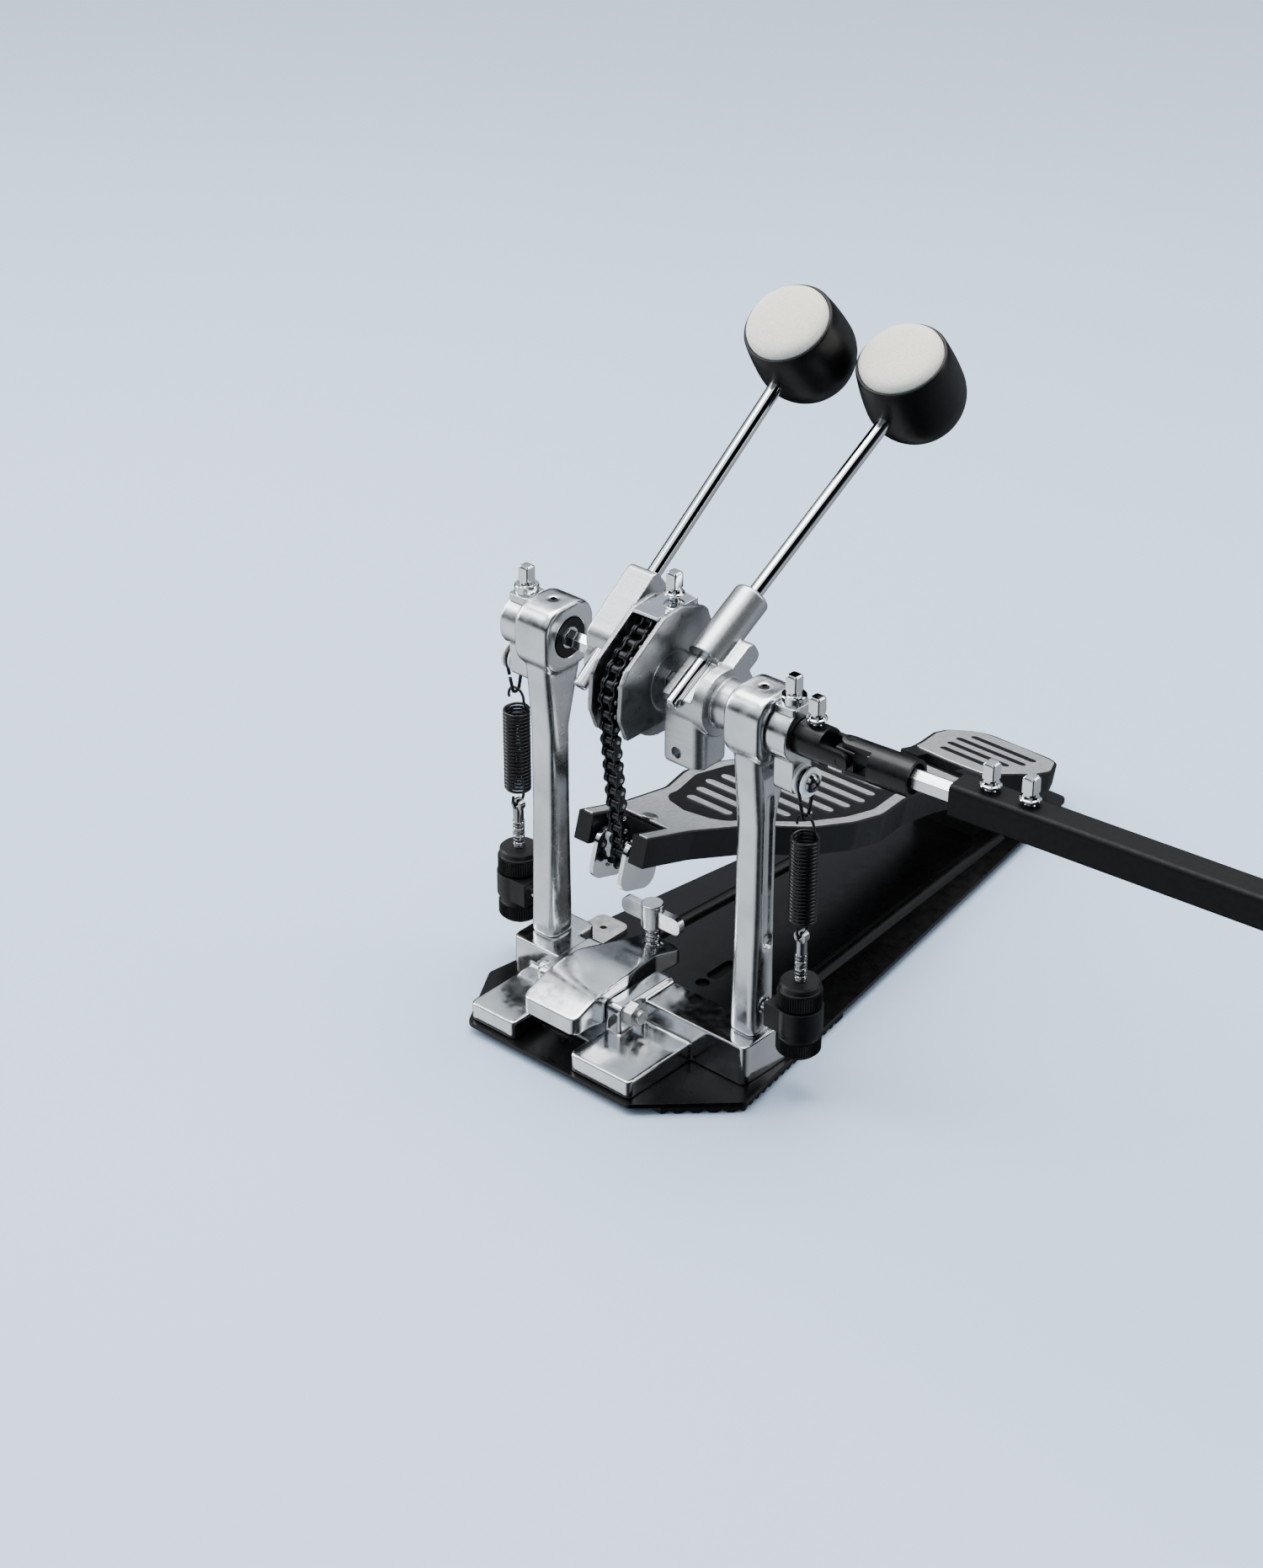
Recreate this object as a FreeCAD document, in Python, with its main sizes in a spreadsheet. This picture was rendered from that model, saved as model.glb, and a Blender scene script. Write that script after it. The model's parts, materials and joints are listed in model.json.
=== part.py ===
import FreeCAD, Part
import math
import os
import re
from types import SimpleNamespace

import Sketcher
from FreeCAD import Placement, Rotation, Vector

# A double bass drum pedal: main unit with two beaters and its drive shaft.
# Frame: floor at z = 0, origin under the middle of the axle, +X along the axle to the drive shaft,
# +Y towards the heel, +Z up. The drum stands on the -Y side. Millimetres and degrees.

SIZES = {
    # shared
    "axle_height": 216,
    "post_x": 72,
    "overrun": 3,
    "running_gap": 0.05,
    "side_gap": 0.4,
    # base plate and rubber
    "mat_thick": 4.5,
    "plate_thick": 2.5,
    "plate_front": 77,
    "plate_left_front": 68,
    "plate_right_front": 48,
    "plate_half": 93,
    "plate_corner": 34,
    "plate_behind_hinge": 88,
    "plate_rear_half": 38,
    "plate_round": 5,
    "bead_inset": 43,
    "bead_start": 24,
    "bead_length": 250,
    "bead_radius": 7,
    "bead_rise": 2.6,
    "bead_slant": 4,
    "slot_y": 54,
    "slot_x": 3,
    "slot_length": 22,
    "slot_width": 8,
    "plate_hole_y": 37,
    "plate_hole_radius": 4,
    "mat_front": 64,
    "mat_rear": 70,
    "mat_inset": 1.2,
    "groove_side": 3.1,
    "groove_pitch": 6.4,
    "groove_count": 20,
    "heel_strip_length": 46,
    "heel_strip_half": 30,
    # base casting
    "casting_half": 84,
    "casting_top": 31,
    "casting_front": 24,
    "casting_rear": 14,
    "post_block_half": 16,
    "wall_rear": 0.5,
    "clamp_x": -16.5,
    "clamp_gap_half": 20,
    "ear_thick": 10,
    "ear_front": 44,
    "ear_top": 35,
    "toe_top": 18,
    "toe_front": 74,
    "right_toe_width": 43,
    "left_toe_width": 33,
    "web_top": 10,
    "web_front": 50,
    "casting_round": 4,
    # anchor plate behind the left post
    "strap_inset": 20,
    "strap_y": 39,
    "strap_half": 11,
    "strap_thick": 3,
    "strap_round": 5,
    "strap_hole_radius": 2,
    # posts
    "post_thick": 18,
    "post_foot_front": 14,
    "post_foot_rear": 5,
    "post_waist_front": 12,
    "post_waist_rear": 4,
    "post_waist_low": 110,
    "post_waist_drop": 56,
    "post_neck_drop": 6,
    "post_neck_half": 16.5,
    "post_round": 5,
    "head_radius": 19,
    "head_thick": 24,
    "head_round": 2.5,
    "hood_round": 13,
    "bearing_radius": 11,
    "set_hole_radius": 2.2,
    "set_hole_depth": 5,
    "flute_radius": 4,
    "flute_low": 84,
    "flute_drop": 40,
    "flute_depth": 1.6,
    "oval_height": 87,
    "oval_back": 2,
    "oval_radius": 3.8,
    "oval_depth": 3,
    # heel casting and hinge
    "hinge_height": 44,
    "hinge_radius": 7,
    "hinge_pin_radius": 2.5,
    "knuckle_half": 13,
    "heel_half": 40,
    "heel_length": 92,
    "heel_thick": 12,
    "heel_start": 10,
    "heel_round": 16,
    "leg_half": 22,
    "leg_start": 12,
    "leg_end": 74,
    "heel_screw_radius": 2.5,
    "heel_screw_head": 4.5,
    "heel_screw_head_thick": 1.8,
    "heel_screw_reach": 12,
    "heel_screw_x": 13,
    "heel_screw_inset": 9,
    # footboard
    "board_top": 10,
    "board_thick": 16,
    "board_length": 299,
    "board_half": 51,
    "board_start": 10,
    "board_wall": 4,
    "board_skin": 4,
    "board_round": 24,
    "notch_half": 14,
    "notch_depth": 20,
    "board_slot_inset": 23,
    "board_slot_half": 15,
    "board_slot_width": 4,
    "board_screw_inset": 30,
    "board_hole_inset": 44,
    "board_hole_radius": 3,
    "board_tongue_half": 11,
    # stirrup
    "stirrup_pin_inset": 14.4,
    "stirrup_pin_drop": 14.7,
    "cheek_in": 8.6,
    "cheek_thick": 2.6,
    "cheek_front": 13,
    "cheek_rear": 15,
    "cheek_top_gap": 6,
    "cheek_pocket": 1.7,
    "pin_in_cheek": 1.2,
    "cheek_drop": 10,
    "cheek_hole_radius": 4,
    "cheek_round": 8,
    "bridge_thick": 3,
    "stirrup_screw_radius": 2.4,
    "stirrup_screw_head": 4.4,
    "stirrup_screw_head_thick": 1.6,
    # axle and sleeve
    "axle_flats": 9,
    "axle_left": 99,
    "axle_hex_right": 17,
    "journal_radius": 6,
    "spigot_radius": 4,
    "spigot_right": 54,
    "sleeve_left": 19,
    "sleeve_right": 112,
    "sleeve_radius": 7,
    # cam
    "cam_half": 11.5,
    "flange_thick": 3,
    "cam_eccentric": 5,
    "cam_radius": 32,
    "lining_gap": 1.8,
    "lining_thick": 2,
    "cam_low": 21,
    "cam_front": 40.5,
    "cam_top": 40,
    "cam_rear": 31,
    "cam_round": 6,
    "cam_relief_radius": 17,
    "cam_relief_depth": 0.8,
    "anchor_front": 1.5,
    "anchor_rear": 23,
    "anchor_block_top": 36,
    "anchor_plate_front": 9,
    "anchor_plate_thick": 2.4,
    "anchor_bolt_y": 14,
    # chain
    "pitch": 8,
    "chain_lean": 6,
    "ramp_angle": 30,
    "wound_links": 3,
    "bend_links": 4,
    "run_links": 12,
    "roller_half": 2.3,
    "link_plate_thick": 1.2,
    "link_plate_gap": 0.1,
    "link_plate_radius": 3.4,
    "link_waist": 4.6,
    "roller_radius": 2.5,
    "chain_pin_radius": 1.3,
    "chain_pin_half": 5.4,
    # beaters
    "rod_radius": 4,
    "beater_x": 29,
    "main_lean": 53,
    "main_rod_offset": 10.5,
    "main_rod_low": 26,
    "second_lean": 60,
    "second_rod_offset": 12.5,
    "second_rod_low": 19,
    "main_head_height": 196,
    "second_head_height": 205,
    "head_radius_widest": 27.5,
    "head_rim_radius": 25.3,
    "head_front": 21.6,
    "head_belly": 5.3,
    "felt_radius": 23.2,
    "felt_thick": 14,
    "felt_seat": 8,
    "felt_round": 4,
    "rod_in_head": 12,
    # main hub
    "hub_half": 9,
    "hub_ring_radius": 14.5,
    "hub_front": 21,
    "hub_low": 5,
    "hub_high": 45,
    "hub_round": 4,
    "hub_toe_round": 11,
    "set_screw_radius": 2.5,
    "set_screw_length": 5,
    # second hub
    "clamp_ring_radius": 18.5,
    "clamp_ring_left": 20,
    "clamp_ring_right": 47,
    "barrel_radius": 10,
    "barrel_low": 14,
    "barrel_high": 56,
    "notch_top": 12,
    "foot_left": 20.5,
    "foot_right": 44,
    "foot_front": 17,
    "foot_rear": 8,
    "foot_drop": 37,
    "foot_round": 3,
    "foot_corner": 7,
    "foot_hole_radius": 3,
    "foot_hole_drop": 29,
    "foot_hole_depth": 8,
    "tab_height": 22,
    "tab_rear": 26,
    "tab_thick": 9,
    "collar_radius": 13,
    "collar_gap": 0.5,
    # spring levers
    "lever_gap": 0.6,
    "lever_thick": 13,
    "lever_ring_radius": 15,
    "lever_lug_half": 8,
    "lever_lug_top": 17,
    "lever_arm_half": 7.5,
    "lever_drop": 25,
    "bush_flange_radius": 8,
    "bush_core_radius": 5.4,
    "bush_flange_thick": 1.5,
    "bush_groove": 3.2,
    "bush_screw_radius": 2.5,
    "bush_screw_head": 5.2,
    "bush_screw_head_thick": 2.8,
    # hooks and springs
    "hook_wire": 2,
    "hook_gap": 0.4,
    "hook_drop": 22,
    "hook_bottom_radius": 2.6,
    "hook_opening": 2.6,
    "spring_wire": 1.6,
    "spring_outer": 15,
    "spring_pitch": 2.16,
    "coil_low_rise": 10.5,
    "coil_high_drop": 10.6,
    "low_loop_radius": 4.2,
    "high_loop_radius": 5.5,
    "loop_lead_angle": 30,
    "low_loop_start_angle": 150,
    "high_loop_end_angle": 200,
    # adjusters
    "eye_height": 98,
    "eye_bolt_radius": 3,
    "eye_bolt_bottom": 22,
    "eye_radius": 3.7,
    "eye_hole_radius": 2.1,
    "eye_half": 2,
    "nut_radius": 12,
    "lower_nut_bottom": 27,
    "lower_nut_top": 41.5,
    "bracket_bottom": 41.5,
    "bracket_top": 56,
    "lock_nut_top": 71,
    "bracket_radius": 12.8,
    "bracket_ear_front": 12,
    "bracket_ear_rear": 2,
    "bracket_ear_x": 86,
    "bracket_pin_radius": 3.6,
    "bracket_pin_y": -5,
    "bracket_pin_height": 49,
    "bracket_pin_in": 6,
    "bracket_pin_reach": 7,
    # key bolts
    "key_square": 6,
    "key_square_height": 9,
    "key_flange_radius": 5.6,
    "key_flange_thick": 1.4,
    "key_neck_height": 2.6,
    "key_shank_radius": 3,
    "key_shank": 7,
    "key_shank_out": 2.5,
    # universal joints and shaft
    "yoke_tube_radius": 10,
    "yoke_left": 98.2,
    "yoke_tube_end": 114,
    "cross_x": 128,
    "cross_half": 5.6,
    "cross_pin_radius": 2.5,
    "yoke_ear_in": 6.2,
    "yoke_ear_reach": 4.6,
    "yoke_back": 15,
    "mid_yoke_end": 38,
    "shaft_swing": 4.4,
    "hex_flats": 10,
    "hex_start": 17,
    "hex_end": 160,
    "tube_start": 62,
    "tube_end": 246,
    "tube_side": 18,
    "tube_round": 3,
    "tube_bore_radius": 6.6,
    "tube_guide": 60,
    "tube_bolt_first": 80,
    "tube_bolt_step": 22,
    "far_cross_x": 270,
    "end_yoke_end": 312,
    "end_bore_radius": 5,
    "end_bore_depth": 20,
    "yoke_bolt_x": 106,
    # hoop clamp
    "pivot_y": 35,
    "pivot_height": 29,
    "pivot_radius": 4,
    "pivot_nut_flats": 13,
    "pivot_head_radius": 5,
    "pivot_nut_thick": 6,
    "pivot_end": 3,
    "jaw_front": 68,
    "jaw_top": 34,
    "jaw_bottom": 24,
    "jaw_heel": 56,
    "lever_crown_front": 50,
    "lever_crown_back": 25,
    "lever_crown": 43,
    "lever_belly": 21,
    "lever_tail": 28,
    "lever_tail_top": 31,
    "lever_tail_bottom": 22,
    "lever_tail_half": 12.5,
    "lever_shoulder": 5,
    "lever_clear": 0.7,
    "lever_round": 5,
    "crown_round": 60,
    "wing_y": 17,
    "wing_shank_radius": 4,
    "wing_hole_gap": 1.2,
    "wing_foot_radius": 5.5,
    "wing_foot_thick": 3,
    "wing_boss_radius": 6.5,
    "wing_boss_bottom": 46,
    "wing_boss_top": 61,
    "wing_boss_round": 1,
    "wing_half_span": 21,
    "wing_thick": 4.4,
    "wing_bottom": 48,
    "wing_top": 58,
    "wing_round": 4,
}

size = SimpleNamespace(**SIZES)


# Chain geometry: pins along the ramp and the cam's arc, then a straight hanging run

def chain_layout():
    """Upper pin (y, z from the axle) and direction of each link, in degrees from straight down to the front."""
    step = 2 * math.degrees(math.asin(size.pitch / 2 / size.cam_radius))
    bends = int(size.bend_links)
    angles = [step * (bends - i) - size.chain_lean for i in range(bends + 1)]
    centre = -size.cam_eccentric
    pins = [(centre - size.cam_radius * math.cos(math.radians(a)),
             centre + size.cam_radius * math.sin(math.radians(a))) for a in angles]
    rise, back = math.sin(math.radians(size.ramp_angle)), math.cos(math.radians(size.ramp_angle))
    wound = [(pins[0][0] + k * size.pitch * back, pins[0][1] + k * size.pitch * rise, 90 - size.ramp_angle)
             for k in range(int(size.wound_links), 0, -1)]
    bending = [(*pins[i], (angles[i] + angles[i + 1]) / 2) for i in range(bends)]
    down = math.radians(size.chain_lean)
    run = [(pins[-1][0] + k * size.pitch * math.sin(down), pins[-1][1] - k * size.pitch * math.cos(down),
            -size.chain_lean) for k in range(int(size.run_links))]
    end = (run[-1][0] + size.pitch * math.sin(down), run[-1][1] - size.pitch * math.cos(down))
    return wound, bending, run, end


WOUND, BENDING, RUN, RUN_END = chain_layout()


def board_stance():
    """Where the heel's hinge lies and how the board slopes, so that the chain's end meets the stirrup,
    and where the base plate ends behind it."""
    along, drop = size.board_length - size.stirrup_pin_inset, size.stirrup_pin_drop
    rise = size.axle_height + RUN_END[1] - size.hinge_height
    back = math.sqrt(along * along + drop * drop - rise * rise)
    slope = math.atan2(rise, back) + math.atan2(drop, along)
    hinge_y = RUN_END[0] + back
    return {"hinge_y": hinge_y, "board_slope": math.degrees(slope),
            "plate_rear": hinge_y + size.plate_behind_hinge}


SIZES.update(board_stance())
size = SimpleNamespace(**SIZES)

doc = FreeCAD.newDocument("double_drum_pedal")
sheet = doc.addObject("Spreadsheet::Sheet", "sizes")
for row, (alias, number) in enumerate(SIZES.items(), 1):
    sheet.set(f"A{row}", alias)
    sheet.set(f"B{row}", str(number))
    sheet.setAlias(f"B{row}", alias)
doc.recompute()

X_AXIS = Vector(1, 0, 0)
Y_AXIS = Vector(0, 1, 0)
Z_AXIS = Vector(0, 0, 1)
LAID = {"x": Rotation(Y_AXIS, 90), "y": Rotation(X_AXIS, -90), "z": Rotation()}
SIDES = (("left", "-1"), ("right", "1"))
nodes = {}


# Helpers: bound primitives, booleans and padded outlines

def sized(formula):
    """Point every size name in a formula at its cell."""
    return re.sub(r"[a-z]\w*", lambda word: "sizes." + word[0] if word[0] in SIZES else word[0], formula)


def bind(thing, prop, formula):
    thing.setExpression(prop, sized(formula))


def put(thing, x="0", y="0", z="0", turn=None, angle="0"):
    """Place an object by formulas, with an optional turn about one axis."""
    if turn is not None:
        thing.Placement = Placement(Vector(), Rotation(turn, 1))
        bind(thing, "Placement.Rotation.Angle", angle)
    for letter, formula in zip("xyz", (x, y, z)):
        bind(thing, "Placement.Base." + letter, formula)
    return thing


def block(name, x, y, z):
    """A box between (low, high) formulas along each axis."""
    box = doc.addObject("Part::Box", name)
    for side, (low, high) in zip(("Length", "Width", "Height"), (x, y, z)):
        bind(box, side, f"({high}) - ({low})")
    return put(box, x[0], y[0], z[0])


def along(axis, across, span):
    """The start point of a round or hexagonal piece that lies along one axis."""
    first, second = across
    return {"x": (span[0], first, second), "y": (first, span[0], second),
            "z": (first, second, span[0])}[axis]


def round_bar(name, axis, across, span, radius):
    bar = doc.addObject("Part::Cylinder", name)
    bar.Placement = Placement(Vector(), LAID[axis])
    bind(bar, "Radius", radius)
    bind(bar, "Height", f"({span[1]}) - ({span[0]})")
    return put(bar, *along(axis, across, span))


def hex_bar(name, axis, across, span, flats):
    bar = doc.addObject("Part::Prism", name)
    bar.Placement = Placement(Vector(), LAID[axis])
    bar.Polygon = 6
    bind(bar, "Circumradius", f"({flats}) / sqrt(3)")
    bind(bar, "Height", f"({span[1]}) - ({span[0]})")
    return put(bar, *along(axis, across, span))


def fuse(name, *pieces):
    joined = doc.addObject("Part::MultiFuse", name)
    joined.Shapes = list(pieces)
    joined.Refine = True
    return joined


def common(name, *pieces):
    shared = doc.addObject("Part::MultiCommon", name)
    shared.Shapes = list(pieces)
    return shared


def cut(name, base, *tools):
    rest = doc.addObject("Part::Cut", name)
    rest.Base = base
    rest.Tool = tools[0] if len(tools) == 1 else fuse(name + "_tools", *tools)
    return rest


def group(name, *pieces):
    """Separate solids that share one node."""
    gathered = doc.addObject("Part::Compound", name)
    gathered.Links = list(pieces)
    return gathered


def is_line(edge, direction):
    """True for a straight edge along a direction."""
    if not isinstance(edge.Curve, Part.Line):
        return False
    return abs(edge.Curve.Direction.dot(direction)) > 0.999


def is_rim(edge, direction, lowest=-1e9, highest=1e9):
    """True for a full circle about a direction, between two places along it."""
    if not isinstance(edge.Curve, Part.Circle) or not edge.isClosed():
        return False
    place = edge.Curve.Center.dot(direction)
    return abs(edge.Curve.Axis.dot(direction)) > 0.999 and lowest < place < highest


def rounded(name, base, radius, chosen):
    """Round the chosen edges of a finished piece."""
    doc.recompute()
    soft = doc.addObject("Part::Fillet", name)
    soft.Base = base
    soft.Edges = [(i, radius, radius) for i, edge in enumerate(base.Shape.Edges, 1) if chosen(edge)]
    return soft


def rounded_block(name, x, y, z, radius, direction=Z_AXIS):
    return rounded(name, block(name + "_block", x, y, z), radius, lambda edge: is_line(edge, direction))


def draw(body, name, plane, corners):
    """A closed outline whose corners are held by formulas."""
    sketch = body.newObject("Sketcher::SketchObject", name)
    sketch.AttachmentSupport = [(next(f for f in body.Origin.OriginFeatures if f.Role == plane), "")]
    sketch.MapMode = "FlatFace"
    count = len(corners)
    ring = [Rotation(Z_AXIS, 360 * i / count).multVec(X_AXIS * size.axle_height) for i in range(count)]
    for i in range(count):
        sketch.addGeometry(Part.LineSegment(ring[i], ring[(i + 1) % count]))
    for i in range(count):
        sketch.addConstraint(Sketcher.Constraint("Coincident", i, 2, (i + 1) % count, 1))
    for i, corner in enumerate(corners):
        for kind, formula in zip(("DistanceX", "DistanceY"), corner):
            index = sketch.addConstraint(Sketcher.Constraint(kind, -1, 1, i, 1, size.overrun))
            bind(sketch, f"Constraints[{index}]", formula)
    return sketch


def slab(name, plane, corners, length, radius=None, chosen=None, middle=False):
    """A body padded from an outline, with its upright corners rounded."""
    body = doc.addObject("PartDesign::Body", name)
    sketch = draw(body, name + "_outline", plane, corners)
    doc.recompute()
    pad = body.newObject("PartDesign::Pad", name + "_pad")
    pad.Profile = sketch
    pad.Midplane = middle
    bind(pad, "Length", length)
    doc.recompute()
    if radius is None:
        return body
    direction = {"XY_Plane": Z_AXIS, "YZ_Plane": X_AXIS, "XZ_Plane": Y_AXIS}[plane]
    edges = [(f"Edge{i}", edge) for i, edge in enumerate(pad.Shape.Edges, 1) if is_line(edge, direction)]
    soft = body.newObject("PartDesign::Fillet", name + "_round")
    soft.Base = (pad, [label for label, edge in edges if chosen is None or chosen(edge.CenterOfMass)])
    bind(soft, "Radius", radius)
    doc.recompute()
    return body


def carried(thing, *place):
    """Place a finished piece again, together with the place that it already has."""
    return put(group(thing.Name + "_placed", thing), *place)


def keep(node, thing):
    thing.Label = node
    nodes[node] = thing
    return thing


def still(node, shape, placement=None):
    """A piece whose shape is worked out by formulas in this file."""
    piece = doc.addObject("Part::Feature", node)
    piece.Shape = shape
    if placement is not None:
        piece.Placement = placement
    return piece


def key_bolt(name, shank="key_shank"):
    """A drum-key bolt, standing on its seat plane at the origin."""
    flange_low = "key_shank_out"
    neck_low = "key_shank_out + key_flange_thick"
    square_low = "key_shank_out + key_flange_thick + key_neck_height"
    stem = round_bar(name + "_stem", "z", ("0", "0"), (f"-({shank})", flange_low), "key_shank_radius")
    flange = round_bar(name + "_flange", "z", ("0", "0"), (flange_low, neck_low), "key_flange_radius")
    neck = doc.addObject("Part::Cone", name + "_neck")
    neck_share = 0.86
    bind(neck, "Radius1", f"{neck_share} * key_flange_radius")
    bind(neck, "Radius2", "key_square / 2")
    bind(neck, "Height", "key_neck_height")
    put(neck, z=neck_low)
    half = ("-key_square / 2", "key_square / 2")
    top = block(name + "_square", half, half, (neck_low, square_low + " + key_square_height"))
    return fuse(name, stem, flange, neck, rounded(name + "_head", top, size.key_square / 6,
                                                   lambda edge: is_line(edge, Z_AXIS)))


# Base: steel plate, rubber, casting, anchor plate

PLATE_TOP = "mat_thick + plate_thick"


def edge_x(front_half, y):
    """How far out the plate's angled front corner reaches at a place behind its front."""
    slope = f"(plate_half - {front_half}) / (plate_front - plate_corner)"
    return f"({front_half} + (plate_front - {y}) * {slope} - mat_inset)"


def base_plate():
    corners = (("-plate_left_front", "-plate_front"), ("plate_right_front", "-plate_front"),
               ("plate_half", "-plate_corner"), ("plate_rear_half", "plate_rear"),
               ("-plate_rear_half", "plate_rear"), ("-plate_half", "-plate_corner"))
    sheet_body = put(slab("plate_sheet", "XY_Plane", corners, "plate_thick", "plate_round"), z="mat_thick")
    caps = []
    for side, sign in SIDES:
        bead = doc.addObject("Part::Cylinder", side + "_bead")
        bind(bead, "Radius", "bead_radius")
        bind(bead, "Height", "bead_length")
        slant = Rotation(Z_AXIS, float(sign) * size.bead_slant)
        bead.Placement = Placement(Vector(), slant.multiply(LAID["y"]))
        put(bead, f"{sign} * (plate_half - bead_inset)", "bead_start",
            f"{PLATE_TOP} + bead_rise - bead_radius")
        above = block(side + "_above", ("-plate_half", "plate_half"), ("-plate_front", "plate_rear"),
                      (PLATE_TOP, f"{PLATE_TOP} + bead_radius"))
        caps.append(common(side + "_bead_cap", bead, above))
    through = ("mat_thick - overrun", f"{PLATE_TOP} + overrun")
    ends = [round_bar(f"slot_end_{sign}", "z",
                      ("slot_x", f"slot_y + {sign} * (slot_length - slot_width) / 2"), through,
                      "slot_width / 2") for _, sign in SIDES]
    middle = block("slot_middle", ("slot_x - slot_width / 2", "slot_x + slot_width / 2"),
                   ("slot_y - (slot_length - slot_width) / 2", "slot_y + (slot_length - slot_width) / 2"),
                   through)
    hole = round_bar("plate_hole", "z", ("slot_x", "plate_hole_y"), through, "plate_hole_radius")
    keep("base_plate", cut("base_plate", fuse("plate_beaded", sheet_body, *caps), middle, hole, *ends,
                           *screw_holes("plate_screw_hole")))


def grip_mats():
    rear_half = ("(plate_half - (mat_rear + plate_corner) * (plate_half - plate_rear_half)"
                 " / (plate_rear + plate_corner) - mat_inset)")
    corners = (("-" + edge_x("plate_left_front", "mat_front"), "-mat_front"),
               (edge_x("plate_right_front", "mat_front"), "-mat_front"),
               ("plate_half - mat_inset", "-plate_corner"), (rear_half, "mat_rear"),
               ("-" + rear_half, "mat_rear"), ("-(plate_half - mat_inset)", "-plate_corner"))
    mat = slab("mat_sheet", "XY_Plane", corners, "mat_thick")
    grooves = []
    for i in range(int(size.groove_count)):
        groove = doc.addObject("Part::Box", f"mat_groove_{i}")
        bind(groove, "Length", "2 * plate_half")
        bind(groove, "Width", "groove_side")
        bind(groove, "Height", "groove_side")
        start = f"groove_pitch * {i} + groove_pitch / 2 - mat_front"
        grooves.append(put(groove, "-plate_half", start, "-groove_side / sqrt(2)", X_AXIS, "45"))
    strip = block("heel_strip", ("-heel_strip_half", "heel_strip_half"),
                  ("plate_rear - heel_strip_length - plate_round", "plate_rear - plate_round"),
                  ("0", "mat_thick"))
    keep("grip_mats", group("grip_mats", cut("grip_mat", mat, *grooves), strip))


def frame_casting():
    floor = PLATE_TOP
    right_ear = ("clamp_x + clamp_gap_half", "clamp_x + clamp_gap_half + ear_thick")
    left_ear = ("clamp_x - clamp_gap_half - ear_thick", "clamp_x - clamp_gap_half")
    across = ("-casting_front", "wall_rear")
    pieces = []
    for side, sign in SIDES:
        inner, outer = f"{sign} * (post_x - post_block_half)", f"{sign} * casting_half"
        span = (inner, outer) if side == "right" else (outer, inner)
        pieces.append(rounded_block(side + "_post_block", span, ("-casting_front", "casting_rear"),
                                    (floor, "casting_top"), size.casting_round))
    pieces.append(block("right_wall", (right_ear[0], "post_x"), across, (floor, "casting_top")))
    pieces.append(block("left_wall", ("-post_x", left_ear[1]), across, (floor, "casting_top")))
    for side, ear in (("right", right_ear), ("left", left_ear)):
        pieces.append(rounded_block(side + "_ear", ear, ("-ear_front", "wall_rear"), (floor, "ear_top"),
                                    size.casting_round, X_AXIS))
    toes = {"right": (right_ear[0], f"{right_ear[0]} + right_toe_width"),
            "left": (f"{left_ear[1]} - left_toe_width", left_ear[1])}
    for side, toe in toes.items():
        pieces.append(rounded_block(side + "_toe", toe, ("-toe_front", "-casting_front + casting_round"),
                                    (floor, "toe_top"), size.casting_round))
    pieces.append(block("casting_web", (left_ear[1], right_ear[0]), ("-web_front", "wall_rear"),
                        (floor, "web_top")))
    bore = round_bar("casting_pivot_bore", "x", ("-pivot_y", "pivot_height"),
                     (f"{left_ear[0]} - overrun", f"{right_ear[1]} + overrun"),
                     "pivot_radius + running_gap")
    keep("frame_casting", cut("frame_casting", fuse("casting_rough", *pieces), bore))


def anchor_plate():
    x = "-plate_half + strap_inset"
    strap = rounded_block("strap", (f"{x} - strap_half", f"{x} + strap_half"),
                          ("strap_y - 2 * strap_half", "strap_y + strap_half"),
                          (PLATE_TOP, f"{PLATE_TOP} + strap_thick"), size.strap_round)
    hole = round_bar("strap_hole", "z", (x, "strap_y"),
                     (PLATE_TOP, f"{PLATE_TOP} + strap_thick + overrun"), "strap_hole_radius")
    keep("anchor_plate", cut("anchor_plate", strap, hole))


# Posts with bearings

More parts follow.
